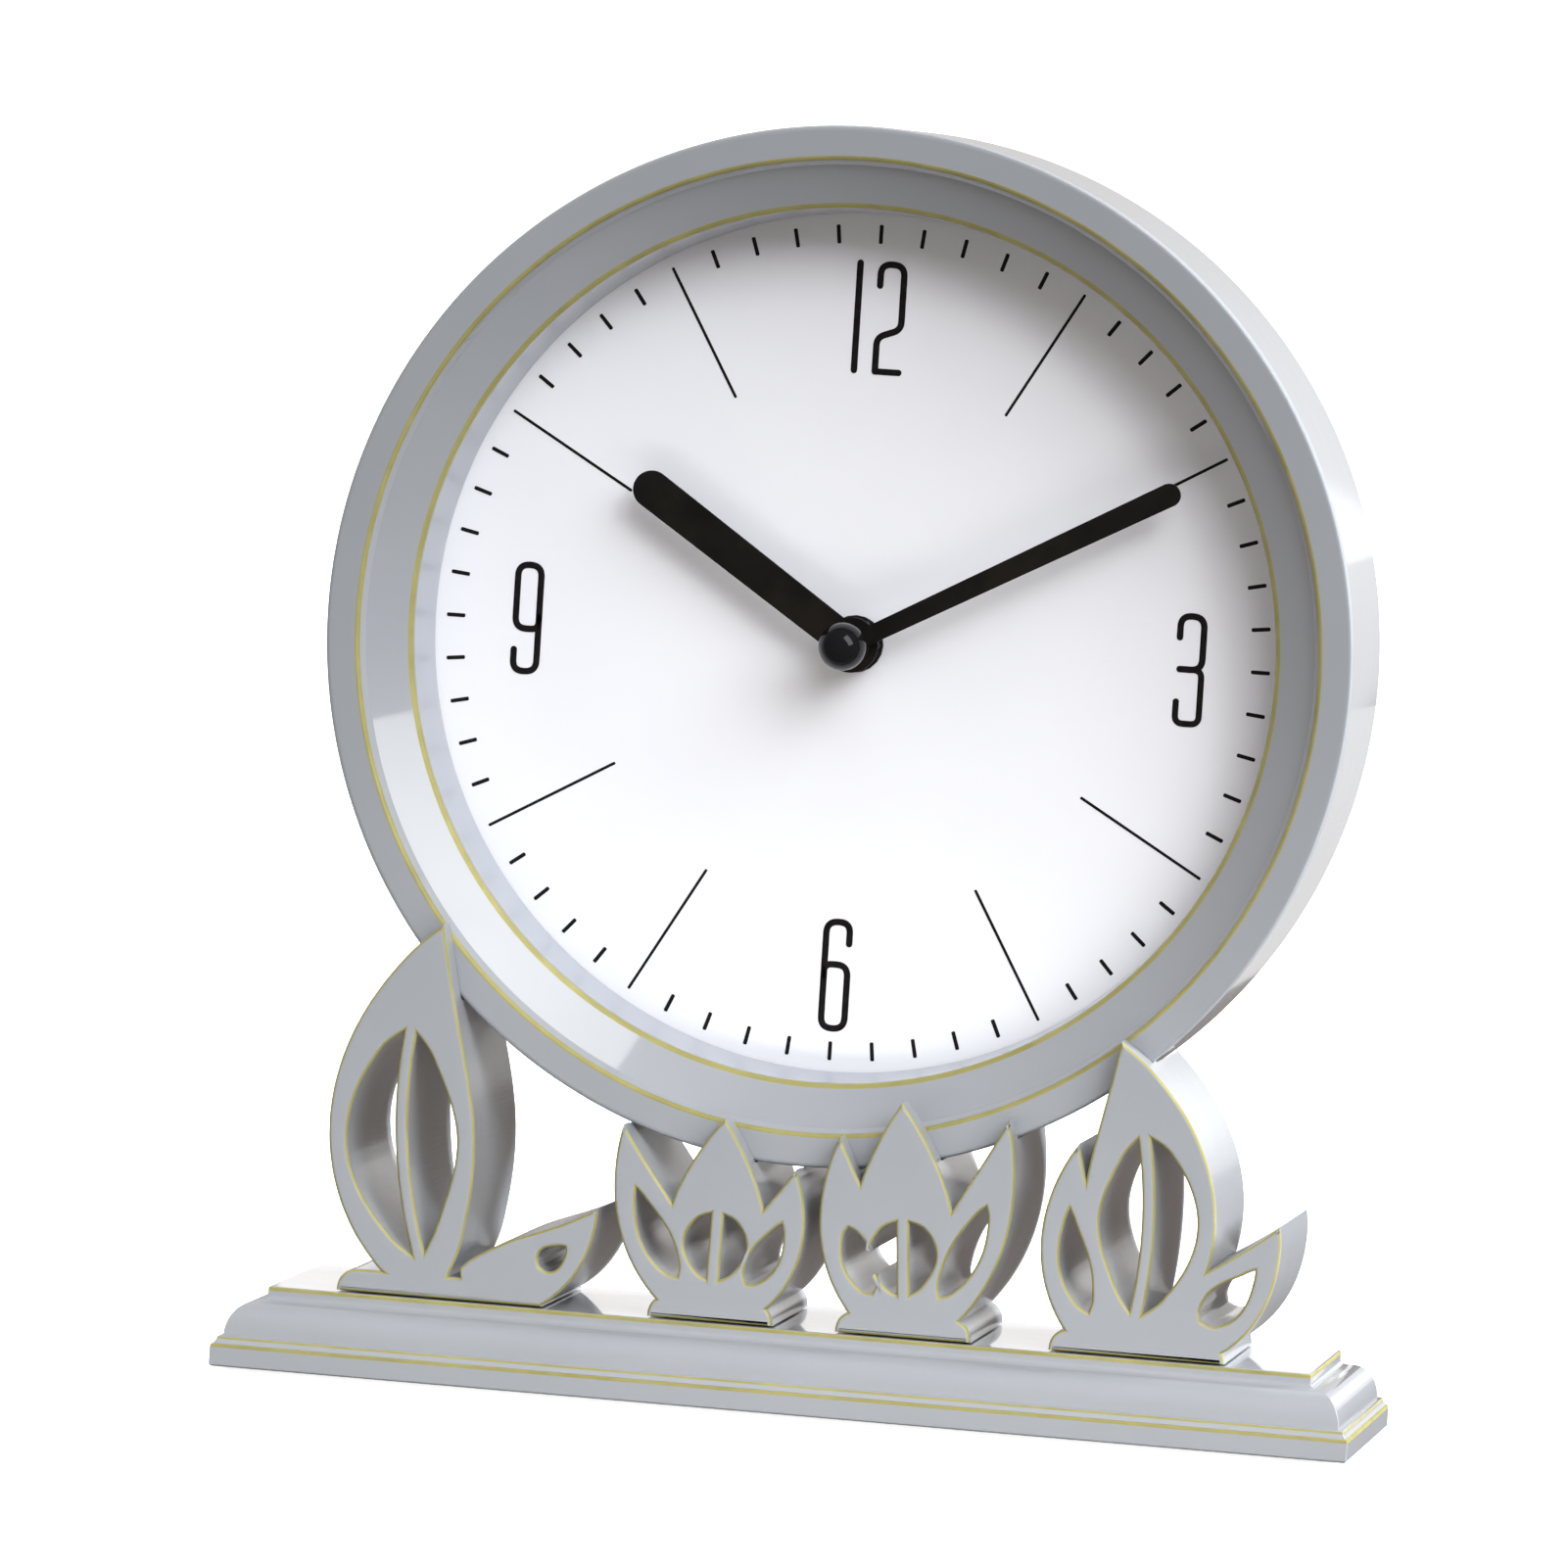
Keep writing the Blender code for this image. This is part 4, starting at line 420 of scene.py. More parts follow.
# %% [markdown]
# ## The plinth
# The plinth is one moulding: a platform, a small cove below it, a quarter round, a thin step and a slab.
# A rectangle that is extruded from level to level keeps its corners mitred
# and gives one strip of faces for every gold line.

# %% Rings of a rectangular moulding
def grow_rectangle(levels):
    """Extrude a flat rectangle through levels of (length, depth, z)."""
    length, depth, z = levels[0]
    piece = add(bpy.ops.mesh.primitive_plane_add, (length, depth, 1), size=1, location=(0, 0, z))
    edit(piece, "FACE")
    for new_length, new_depth, new_z in levels[1:]:
        bpy.ops.mesh.extrude_region_move(TRANSFORM_OT_translate={"value": (0, 0, new_z - z)})
        share = (new_length / length, new_depth / depth, 1)
        bpy.ops.transform.resize(value=share, center_override=(0, 0, new_z))
        length, depth, z = new_length, new_depth, new_z
    leave_edit()
    return close_up(piece)


def paint_faces(piece, slot, wanted):
    """Give the faces that a test picks the finish in that slot."""
    count = 0
    for face in piece.data.polygons:
        if wanted(face):
            face.material_index = slot
            count += 1
    return count


SLAB_LENGTH = plinth_high.x - plinth_low.x
SLAB_DEPTH = plinth_high.y - plinth_low.y
PLINTH_TOP = plinth_high.z / MM
PLINTH_FOOT = plinth_low.z / MM
print("slab %.1f by %.1f mm, top at %.1f mm" % (SLAB_LENGTH / MM, SLAB_DEPTH / MM, PLINTH_TOP))

# %% [markdown]
# Heights are millimetres above the ground, and insets are millimetres behind the slab's edge.
# Each gold line is the strip of faces just below an edge.

# %% Levels of the moulding, from the ground up
SLAB_TOP, STEP_TOP, ROUND_TOP, COVE_TOP = 5.5, 7.0, 13.9, 15.2
STEP_IN, ROUND_IN, COVE_IN, PLATFORM_IN = 1.1, 2.2, 7.4, 9.4
SOFT = 0.35
SLAB_LINE, STEP_LINE, TOP_LINE = 0.75, 0.6, 0.6
TOP_EDGE = PLINTH_TOP - 0.3
ROUND_STEPS, COVE_STEPS = 12, 6


def level(inset, z):
    return SLAB_LENGTH - 2 * inset * MM, SLAB_DEPTH - 2 * inset * MM, z * MM


def quarter(steps):
    return [math.radians(90 * (i + 1) / steps) for i in range(steps)]


profile = [
    (SOFT, PLINTH_FOOT), (0, PLINTH_FOOT + SOFT),
    (0, SLAB_TOP - SLAB_LINE), (0.15, SLAB_TOP - 0.15), (0.5, SLAB_TOP),
    (0.6, SLAB_TOP + 0.05), (STEP_IN, STEP_TOP - STEP_LINE),
    (STEP_IN + 0.1, STEP_TOP - 0.1), (STEP_IN + 0.4, STEP_TOP), (ROUND_IN, STEP_TOP + 0.05),
]
for angle in quarter(ROUND_STEPS):
    profile.append((COVE_IN - (COVE_IN - ROUND_IN) * math.cos(angle),
                    STEP_TOP + (ROUND_TOP - STEP_TOP) * math.sin(angle)))
for angle in quarter(COVE_STEPS):
    profile.append((COVE_IN + (PLATFORM_IN - COVE_IN) * math.sin(angle),
                    ROUND_TOP + (COVE_TOP - ROUND_TOP) * (1 - math.cos(angle))))
profile += [
    (PLATFORM_IN, TOP_EDGE - TOP_LINE), (PLATFORM_IN, TOP_EDGE),
    (PLATFORM_IN + 0.12, PLINTH_TOP - 0.1), (PLATFORM_IN + 0.4, PLINTH_TOP),
]
print("moulding levels:", len(profile))

# %% Build the plinth and line its edges
plinth = grow_rectangle([level(*place) for place in profile])
dress(plinth, lacquer, gold)


def on_line(face):
    z = face.center.z / MM
    slab = SLAB_TOP - SLAB_LINE < z < SLAB_TOP
    step = STEP_TOP - STEP_LINE < z < STEP_TOP
    top = TOP_EDGE - TOP_LINE < z < PLINTH_TOP - 0.02
    return abs(face.normal.z) < 0.93 and (slab or step or top)


print("gold strips:", paint_faces(plinth, 1, on_line))
soften(plinth, 0.25 * MM, 2, 60)
settle(plinth, "plinth_moulding", 30)
hang(plinth, "clock", "lacquer", "plinth")

# %% [markdown]
# ## The leaf supports
# Each support is a thick openwork sprig between plinth and drum, sawn through from front to back.
# The solid already has its outline, but as short straight lines.
# So the front outline is lifted off, smoothed as a curve, given depth with a rounded edge,
# and the drum's seat is cut into it. The rounding is where the gold line is painted.

# %% Lift the front outline of a support
def front_outline(node):
    source = nodes[node]
    copy = bpy.data.objects.new("outline", source.data.copy())
    bpy.context.scene.collection.objects.link(copy)
    edit(copy)
    bpy.ops.mesh.remove_doubles(threshold=2 * CLOSE)
    bpy.ops.mesh.select_all(action="DESELECT")
    leave_edit()
    face_y = min(v.co.y for v in copy.data.vertices)
    for face in copy.data.polygons:
        face.select = face.normal.y < -0.99 and abs(face.center.y - face_y) < 1e-5
    bpy.ops.object.mode_set(mode="EDIT")
    bpy.ops.mesh.select_mode(type="FACE")
    bpy.ops.mesh.region_to_loop()
    bpy.ops.mesh.duplicate()
    bpy.ops.mesh.separate(type="SELECTED")
    leave_edit()
    loose = [o for o in bpy.context.selected_objects if o is not copy][0]
    bpy.data.objects.remove(copy, do_unlink=True)
    return loose


def corner_angle(before, here, after):
    first = here - before
    second = after - here
    if min(first.length, second.length) < SAME / 100:
        return 0.0
    return math.degrees(first.angle(second))


print("outline helper ready")

# %% Smooth the outline and give it depth
UPRIGHT = Matrix.Rotation(math.radians(90), 4, "X")
EDGE_ROUND = 0.85 * MM
SHARP_CORNER = 32     # degrees: a sharper corner than this stays a corner


def thick_outline(loose, front, back):
    """Turn an outline into a smooth solid with rounded edges."""
    loose.data.transform(UPRIGHT.inverted())
    flat = loose.data.vertices[0].co.z
    loose.data.transform(Matrix.Translation((0, 0, -flat)))
    pick(loose)
    bpy.ops.object.convert(target="CURVE")
    curve = loose.data
    curve.dimensions = "2D"
    bpy.ops.object.mode_set(mode="EDIT")
    bpy.ops.curve.select_all(action="SELECT")
    bpy.ops.curve.spline_type_set(type="BEZIER")
    bpy.ops.curve.handle_type_set(type="AUTOMATIC")
    leave_edit()
    for spline in curve.splines:
        points = spline.bezier_points
        neighbours = zip([points[-1], *points[:-1]], points, [*points[1:], points[0]])
        corners = [here for before, here, after in neighbours
                   if corner_angle(before.co, here.co, after.co) > SHARP_CORNER]
        for point in corners:
            point.handle_left_type = "VECTOR"
            point.handle_right_type = "VECTOR"
    curve.resolution_u = 5
    curve.fill_mode = "BOTH"
    curve.extrude = (back - front) / 2 - EDGE_ROUND
    curve.bevel_depth = EDGE_ROUND
    curve.bevel_resolution = 3
    curve.offset = -EDGE_ROUND
    bpy.ops.object.convert(target="MESH")
    loose.data.transform(UPRIGHT)
    loose.data.transform(Matrix.Translation((0, (front + back) / 2, 0)))
    return close_up(loose)


print("edge rounding %.2f mm" % (EDGE_ROUND / MM))

# %% Cut the drum's seat and paint the edges
SEAT_GAP = 0.3 * MM
CUTTER_DEPTH = 0.2


def front_edge(face):
    near = face.center.y < SUPPORT_FRONT + EDGE_ROUND
    return near and -0.93 < face.normal.y < -0.38


def sawn(face):
    return abs(face.normal.y) < 0.35 and face.center.y > SUPPORT_FRONT + EDGE_ROUND * 0.9


def make_support(node):
    piece = thick_outline(front_outline(node), SUPPORT_FRONT, SUPPORT_BACK)
    middle_y = RIM - SEAT_GAP + CUTTER_DEPTH / 2
    combine(piece, disc(DRUM_RADIUS + SEAT_GAP, CUTTER_DEPTH, (0, middle_y, AXIS_Z), 256))
    dress(piece, lacquer, gold, sawn_side)
    lined = paint_faces(piece, 1, front_edge)
    paint_faces(piece, 2, sawn)
    settle(piece, node + "_sprig", 28)
    hang(piece, "clock", "lacquer", node)
    print(node, "faces", len(piece.data.polygons), "gold faces", lined)


for node in ("leaf_support_left", "palm_support_left", "palm_support_right", "leaf_support_right"):
    make_support(node)

# %% [markdown]
# ## The drum
# The drum is a turned-looking shell: a flat front ring, a small step with a gold edge,
# a sloping second ring with another gold edge, and a deep well down to the dial.
# A circle is drawn once and extruded from ring to ring, which is lathe work with a mouse.
# Each ring of faces can then have its own paint.

# %% Grow a round shell from ring to ring
def grow_round(rings, segments=256, centre=(0.0, AXIS_Z)):
    """Extrude a circle through rings of (radius, y)."""
    x, z = centre
    radius, y = rings[0]
    piece = add(bpy.ops.mesh.primitive_circle_add, vertices=segments, radius=radius,
                location=(x, y, z), rotation=FACING_FRONT)
    edit(piece, "EDGE")
    for new_radius, new_y in rings[1:]:
        bpy.ops.mesh.extrude_edges_move(TRANSFORM_OT_translate={"value": (0, new_y - y, 0)})
        share = new_radius / radius
        bpy.ops.transform.resize(value=(share, 1, share), center_override=(x, new_y, z))
        radius, y = new_radius, new_y
    leave_edit()
    return piece


def close_ends(piece, close=bpy.ops.mesh.edge_face_add):
    """Close the two open rings, usually with one face each."""
    edit(piece, "EDGE")
    bpy.ops.mesh.select_all(action="DESELECT")
    bpy.ops.mesh.select_non_manifold()
    close()
    leave_edit()
    return close_up(piece)


print("lathe helpers ready")

# %% Rings of the drum, in millimetres from the axis and from the rim
WELL_END = (DIAL_FACE - RIM) / MM - 0.3
DEPTH = (DRUM_BACK - RIM) / MM
OUTSIDE = DRUM_RADIUS / MM
drum_rings = [
    (OUTSIDE - 0.9, DEPTH), (OUTSIDE - 0.5, DEPTH - 0.4), (OUTSIDE, 1.3), (OUTSIDE - 0.04, 0.88),
    (OUTSIDE - 0.17, 0.5), (OUTSIDE - 0.4, 0.2), (OUTSIDE - 0.72, 0.05), (OUTSIDE - 1.1, 0.0),
    (99.85, 0.0), (99.5, 0.05), (99.2, 0.22), (99.02, 0.5), (98.92, 0.85), (98.15, 2.6), (97.95, 2.78),
    (90.3, 7.05), (89.95, 7.2), (89.55, 7.45), (89.28, 7.85), (89.15, 8.4),
    (88.3, WELL_END), (96.2, WELL_END), (96.2, WELL_END - 2), (90.8, WELL_END - 2), (91.6, 10.2),
    (98.8, 5.4), (103.0, 3.1), (103.0, DEPTH - 0.3), (103.3, DEPTH),
]
drum_shell = grow_round([(r * MM, RIM + y * MM) for r, y in drum_rings])
drum = close_ends(drum_shell, bpy.ops.mesh.bridge_edge_loops)
print("drum faces:", len(drum.data.polygons))

# %% Line the two edges of the drum in gold
# The well wall gets the bluer, paler lacquer, which is painted cool light.
dress(drum, lacquer, gold, well_lacquer_painted_cool_light)


def ring_place(face):
    """Distance from the axis and depth behind the rim, in millimetres."""
    across = math.hypot(face.center.x, face.center.z - AXIS_Z)
    return across / MM, (face.center.y - RIM) / MM


def on_drum_line(face):
    across, depth = ring_place(face)
    first = 98.9 < across < 99.7 and -0.01 < depth < 0.7
    second = 89.4 < across < 90.2 and 7.0 < depth < 7.7
    return first or second


def on_well_wall(face):
    across, depth = ring_place(face)
    return across < 89.2 and depth > 8.0


print("gold faces:", paint_faces(drum, 1, on_drum_line))
print("well faces:", paint_faces(drum, 2, on_well_wall))
settle(drum, "drum_shell", 25)
hang(drum, "clock", "lacquer", "drum_case")

# %% [markdown]
# ## The dial and its print
# The dial is a plain disc. Its marks are a print, so they are modelled as a very thin layer on its face:
# fifty-two short ticks, eight long hour lines and the numerals 12, 3, 6 and 9.
# One tick is modelled at twelve o'clock and copied round the axis.

# %% Dial paper and print depth
dress(nodes["dial"], paper)
PRINT = 0.05 * MM


def printed_bar(inner, outer, width):
    """A thin bar at twelve o'clock from the inner to the outer radius, with rounded ends."""
    middle_z = AXIS_Z + (inner + outer) / 2
    bar = block((width, PRINT, outer - inner), (0, DIAL_FACE - PRINT / 2, middle_z))
    return bevel_some(bar, front_to_back, width * 0.3, 2)


print("print is %.2f mm thick" % (PRINT / MM))

# %% Ticks and hour lines
LONG_HOURS = (1, 2, 4, 5, 7, 8, 10, 11)
TRACK = 86.0 * MM     # every mark ends at this radius
first_tick = printed_bar(82.1 * MM, TRACK, 0.8 * MM)
first_line = printed_bar(56.2 * MM, TRACK, 0.6 * MM)
short = [i for i in range(60) if i % 5 or i // 5 not in LONG_HOURS]
ticks = [copy_of(first_tick, turn_round_axis(6 * i)) for i in short]
lines = [copy_of(first_line, turn_round_axis(30 * hour)) for hour in LONG_HOURS]
for pattern in (first_tick, first_line):
    bpy.data.objects.remove(pattern, do_unlink=True)
marks = join(ticks + lines, "dial_marks")
dress(marks, ink)
settle(marks, "dial_marks", 30)
hang(marks, "clock", "hand_black")
print("ticks", len(ticks), "hour lines", len(lines))

# %% [markdown]
# ### Numerals
# The numerals are tall and narrow, drawn with one even stroke that has round corners and round ends.
# A font would only come near, so each numeral is a bent line: corner points with a radius,
# swept as a thin tube and then pressed flat on the dial.

# %% Draw a stroke with rounded corners
STROKE = 1.35 * MM


def rounded_path(points, radius, steps=8):
    """Replace each inner corner of a line of points by an arc."""
    path = [Vector(points[0])]
    for before, here, after in zip(points, points[1:], points[2:]):
        before, here, after = Vector(before), Vector(here), Vector(after)
        back = (before - here).normalized()
        ahead = (after - here).normalized()
        half = back.angle(ahead) / 2
        reach = min(radius / math.tan(half), (before - here).length * 0.5, (after - here).length * 0.5)
        start = here + back * reach
        end = here + ahead * reach
        for i in range(steps + 1):
            t = i / steps
            path.append(start.lerp(here, t).lerp(here.lerp(end, t), t))
    path.append(Vector(points[-1]))
    return path


def stroke(points, radius, centre, turn=1, thick=STROKE):
    """Sweep a stroke along corner points given in millimetres around a centre on the dial."""
    path = rounded_path(points, radius)
    curve = bpy.data.curves.new("stroke", "CURVE")
    curve.dimensions = "3D"
    curve.bevel_depth = thick / 2
    curve.bevel_resolution = 3
    curve.use_fill_caps = True
    spline = curve.splines.new("POLY")
    spline.points.add(len(path) - 1)
    line = [(centre[0] + turn * place.x * MM, 0, centre[1] + turn * place.y * MM) for place in path]
    for point, place in zip(spline.points, line):
        point.co = (*place, 1)
    piece = bpy.data.objects.new("stroke", curve)
    bpy.context.scene.collection.objects.link(piece)
    pick(piece)
    bpy.ops.object.convert(target="MESH")
    parts = [piece]
    for end in (line[0], line[-1]):
        parts.append(add(bpy.ops.mesh.primitive_uv_sphere_add, segments=16, ring_count=8,
                         radius=thick / 2, location=end))
    return parts


print("stroke %.2f mm" % (STROKE / MM))

# %% The numerals 12, 3, 6 and 9
WIDE, TALL, HOOK = 2.45, 11.0, 6.6
WAIST = -2.1
TWELVE, THREE, SIX, NINE = 67.0 * MM, 69.5 * MM, 68.4 * MM, 69.0 * MM
SOFT_BEND, FOOT_BEND = 2.35, 1.7
one = [(0, TALL), (0, -TALL)]
two = [(-WIDE, HOOK), (-WIDE, TALL), (WIDE, TALL), (WIDE, -2.2), (-WIDE, -4.0), (-WIDE, -TALL)]
two_foot = [(-WIDE, -TALL), (WIDE, -TALL)]
three_top = [(-WIDE, HOOK), (-WIDE, TALL), (WIDE, TALL), (WIDE, 0.1), (WAIST, 0.1)]
three_foot = [(WAIST, 0.1), (WIDE, 0.1), (WIDE, -TALL), (-WIDE, -TALL), (-WIDE, -HOOK)]
six = [(WIDE, HOOK), (WIDE, TALL), (-WIDE, TALL), (-WIDE, -TALL),
       (WIDE, -TALL), (WIDE, 2.2), (-WIDE, 2.2), (-WIDE, -1.0)]
two_at = (2.9 * MM, AXIS_Z + TWELVE)
three_at = (THREE, AXIS_Z - 0.5 * MM)
numeral_parts = stroke(one, 1, (-3.9 * MM, AXIS_Z + TWELVE))
numeral_parts += stroke(two, SOFT_BEND, two_at)
numeral_parts += stroke(two_foot, 1, two_at)
numeral_parts += stroke(three_top, 2.4, three_at)
numeral_parts += stroke(three_foot, FOOT_BEND, three_at)
numeral_parts += stroke(six, SOFT_BEND, (0.2 * MM, AXIS_Z - SIX))
numeral_parts += stroke(six, SOFT_BEND, (-NINE, AXIS_Z + 0.4 * MM), -1)
numerals = join(numeral_parts, "dial_numerals")
RELIEF = 0.16 * MM
flatten = Matrix.Diagonal((1, RELIEF / STROKE, 1, 1))
numerals.data.transform(Matrix.Translation((0, DIAL_FACE - RELIEF / 2, 0)) @ flatten)
close_up(numerals, False)
dress(numerals, ink)
settle(numerals, "dial_numerals", 30)
hang(numerals, "clock", "hand_black")
print("numeral faces:", len(numerals.data.polygons))

# %% [markdown]
# ## The hands and their cap
# The hands are stamped bars with round ends on a round hub, and the cap is a ball on a short collar.
# Each hand starts as a cube. Its long edges are bevelled until the ends are round,
# the hub is a cylinder that is welded on, and a last small bevel takes the sheet's sharp edge off.

# %% A bar with round ends
def hand_bar(length, root_width, tip_width, thick, y):
    """A bar from the axis to the tip of a hand that points to twelve."""
    middle_z = AXIS_Z + length / 2
    bar = block((tip_width, thick, length), (0, y, middle_z))
    for vertex in bar.data.vertices:
        if vertex.co.z < middle_z:
            vertex.co.x *= root_width / tip_width

    def tip_corner(first, second):
        return abs(first.y - second.y) > thick * 0.5 and first.z > middle_z

    return bevel_some(bar, tip_corner, tip_width * 0.497, 16)


def make_hand(node, body, root_width, tip_width, hub_radius, degrees):
    low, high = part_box(node)
    thick = high.y - low.y
    y = (low.y + high.y) / 2
    reach = max(math.hypot(v.co.x, v.co.z - AXIS_Z) for v in nodes[node].data.vertices)
    bar = hand_bar(reach, root_width, tip_width, thick, y)
    combine(bar, disc(hub_radius, thick, (0, y, AXIS_Z), 96), "UNION")
    soften(bar, 0.12 * MM, 2, 50)
    bar.data.transform(turn_round_axis(degrees))
    close_up(bar)
    dress(bar, hand_paint)
    settle(bar, node + "_sheet", 30)
    hang(bar, body, "hand_black", node)
    print(node, "reaches %.1f mm" % (reach / MM))


make_hand("hour_hand", "hour_set", 7.0 * MM, 7.8 * MM, 5.7 * MM, 303.7)
make_hand("minute_hand", "minute_set", 3.6 * MM, 4.8 * MM, 4.2 * MM, 61.3)

# %% The ball cap
cap_low, cap_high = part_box("hand_cap")
CAP_RADIUS = (cap_high.x - cap_low.x) / 2
cap = add(bpy.ops.mesh.primitive_uv_sphere_add, segments=64, ring_count=32, radius=CAP_RADIUS,
          location=(0, cap_low.y + CAP_RADIUS, AXIS_Z), rotation=FACING_FRONT)
collar = close_ends(grow_round([
    (2.2 * MM, cap_low.y + 1.6 * CAP_RADIUS), (2.45 * MM, cap_low.y + 1.75 * CAP_RADIUS),
    (2.6 * MM, cap_high.y - 0.3 * MM), (2.5 * MM, cap_high.y - 0.1 * MM), (2.3 * MM, cap_high.y)], 64))
combine(cap, collar, "UNION")
close_up(cap)
dress(cap, gloss_black)
settle(cap, "ball_cap", 40)
hang(cap, "minute_set", "gloss_black", "hand_cap")
print("cap radius %.1f mm" % (CAP_RADIUS / MM))

# %% [markdown]
# ## The back and the underside
# They are rarely photographed, but a hand meets them when it sets the clock or changes the cell.
# One screw is turned with a domed head and a ridged shank, gets its cross recess,
# and is copied to each place where a screw shows, each copy turned a little differently.

# %% One pan-head screw, its head towards the back
HEAD_HEIGHT = 1.7
SCREW_LENGTH = 8.0
SHANK, THREAD_ROOT, THREADS = 1.5, 1.1, 7
TO_GROUND = Matrix.Rotation(math.radians(-90), 4, "X")
TO_RIGHT = Matrix.Rotation(math.radians(-90), 4, "Z")


def turned_piece(rings, segments=64):
    """A closed round solid about the Y axis at the origin, from rings in millimetres."""
    return close_ends(grow_round([(r * MM, y * MM) for r, y in rings], segments, (0, 0)))


screw_rings = [(0.5, HEAD_HEIGHT), (1.3, 1.63), (2.0, 1.42), (2.5, 1.05), (2.8, 0.55), (2.9, 0.15),
               (2.86, 0.0), (SHANK, 0.0)]
for thread in range(THREADS):
    screw_rings += [(SHANK, -0.5 - thread), (THREAD_ROOT, -1.0 - thread)]
screw_rings += [(0.9, -7.4), (0.3, -SCREW_LENGTH)]
first_screw = turned_piece(screw_rings, 48)
for length, breadth in ((3.2, 0.62), (0.62, 3.2)):
    combine(first_screw, block((length * MM, 1.4 * MM, breadth * MM), (0, 1.5 * MM, 0)))
print("screw faces:", len(first_screw.data.polygons))


# %% Copy the screws and turn the feet
def place_copy(pattern, matrix, name, finish, slot, node):
    copy = copy_of(pattern, matrix)
    close_up(copy)
    dress(copy, finish)
    settle(copy, name, 35)
    hang(copy, "clock", slot, node)


def middle(node):
    low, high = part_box(node)
    return (low + high) / 2


def place_screw(node, seat, turn):
    place_copy(first_screw, seat @ Matrix.Rotation(turn, 4, "Y"), node + "_turned", steel, "steel", node)


for number in range(1, 5):
    node = "rear_cover_screw_%d" % number
    centre = middle(node)
    seat_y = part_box(node)[1].y - HEAD_HEIGHT * MM
    place_screw(node, Matrix.Translation((centre.x, seat_y, centre.z)), number * 1.3)
for number in range(1, 4):
    node = "base_plate_screw_%d" % number
    centre = middle(node)
    seat_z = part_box(node)[0].z + HEAD_HEIGHT * MM
    place_screw(node, Matrix.Translation((centre.x, centre.y, seat_z)) @ TO_GROUND, number * 0.9)
first_foot = turned_piece([
    (4.8, 0.0), (5.0, 0.2), (5.0, 1.3), (4.85, 1.65), (4.5, 1.85), (4.0, 1.9), (3.4, 1.9), (3.15, 1.75),
    (2.8, 1.68)])
for node in ("foot_front_left", "foot_front_right", "foot_rear_left", "foot_rear_right"):
    centre = middle(node)
    seat = Matrix.Translation((centre.x, centre.y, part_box(node)[1].z))
    place_copy(first_foot, seat @ TO_GROUND, node + "_pad", rubber, "rubber", node)
for pattern in (first_screw, first_foot):
    bpy.data.objects.remove(pattern, do_unlink=True)
print("screws and feet copied")

# %% [markdown]
# ### Rear cover and base plate
# Both are flat mouldings. The rear cover is a disc with a raised frame round the movement's window.
# The base plate is a slab with pockets for the feet and counterbores for its screws.
# A moulded edge is never sharp, so each gets a small bevel after the cutting.

# %% Model the two covers
COVER_RECESS = 2.5 * MM
FRAME_HALF, FRAME_INNER, WINDOW_HALF = 33.8 * MM, 32.2 * MM, 29.0 * MM
FRAME_CORNER, WINDOW_CORNER = 4.0 * MM, 2.5 * MM
PAST = 5 * MM         # a cutter reaches this far past what it cuts
FOOT_POCKET = (5.3 * MM, 0.8 * MM)
COUNTERBORE = (3.2 * MM, 2.4 * MM)
cover_low, cover_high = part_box("rear_cover")
cover_radius = (cover_high.x - cover_low.x) / 2
cover_face = DRUM_BACK - COVER_RECESS


def rounded_block(half, corner, start, end):
    """A square block along Y with rounded edges, centred on the axis of the hands."""
    made = block((2 * half, end - start, 2 * half), (0, (start + end) / 2, AXIS_Z))
    edit(made, "EDGE")
    bpy.ops.mesh.bevel(offset=corner, segments=6, affect="EDGES")
    leave_edit()
    return made


cover = close_ends(grow_round([(cover_radius, cover_low.y), (cover_radius, cover_face)]))
combine(cover, rounded_block(FRAME_HALF, FRAME_CORNER, cover_low.y + 1 * MM, cover_high.y), "UNION")
combine(cover, rounded_block(FRAME_INNER, WINDOW_CORNER, cover_face, cover_high.y + PAST))
combine(cover, rounded_block(WINDOW_HALF, WINDOW_CORNER, cover_low.y - PAST, cover_high.y + PAST))
plate_low, plate_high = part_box("base_plate")
base = block(plate_high - plate_low, (plate_low + plate_high) / 2)


def sink_pocket(node, radius, depth):
    """Cut a round pocket into the base plate from below, under a foot or a screw."""
    centre = middle(node)
    combine(base, add(bpy.ops.mesh.primitive_cylinder_add, vertices=64, radius=radius, depth=2 * depth,
                      location=(centre.x, centre.y, plate_low.z)))


for node in nodes:
    if node.startswith("foot"):
        sink_pocket(node, *FOOT_POCKET)
    elif node.startswith("base_plate_screw"):
        sink_pocket(node, *COUNTERBORE)
for piece, node in ((cover, "rear_cover"), (base, "base_plate")):
    soften(piece, 0.35 * MM, 3, 50)
    close_up(piece)
    dress(piece, black_plastic)
    settle(piece, node + "_moulding", 35)
    hang(piece, "clock", "black_plastic", node)
    print(node, "faces", len(piece.data.polygons))

# %% [markdown]
# ### The cell, its marks and the setting arrow
# The cell is a steel can in a shrunk sleeve, which curls over both ends and lets the can show.
# Raised signs filled with white on the movement say which way round it goes,
# and a bent arrow printed on the setting knob shows which way it turns the hands forward.

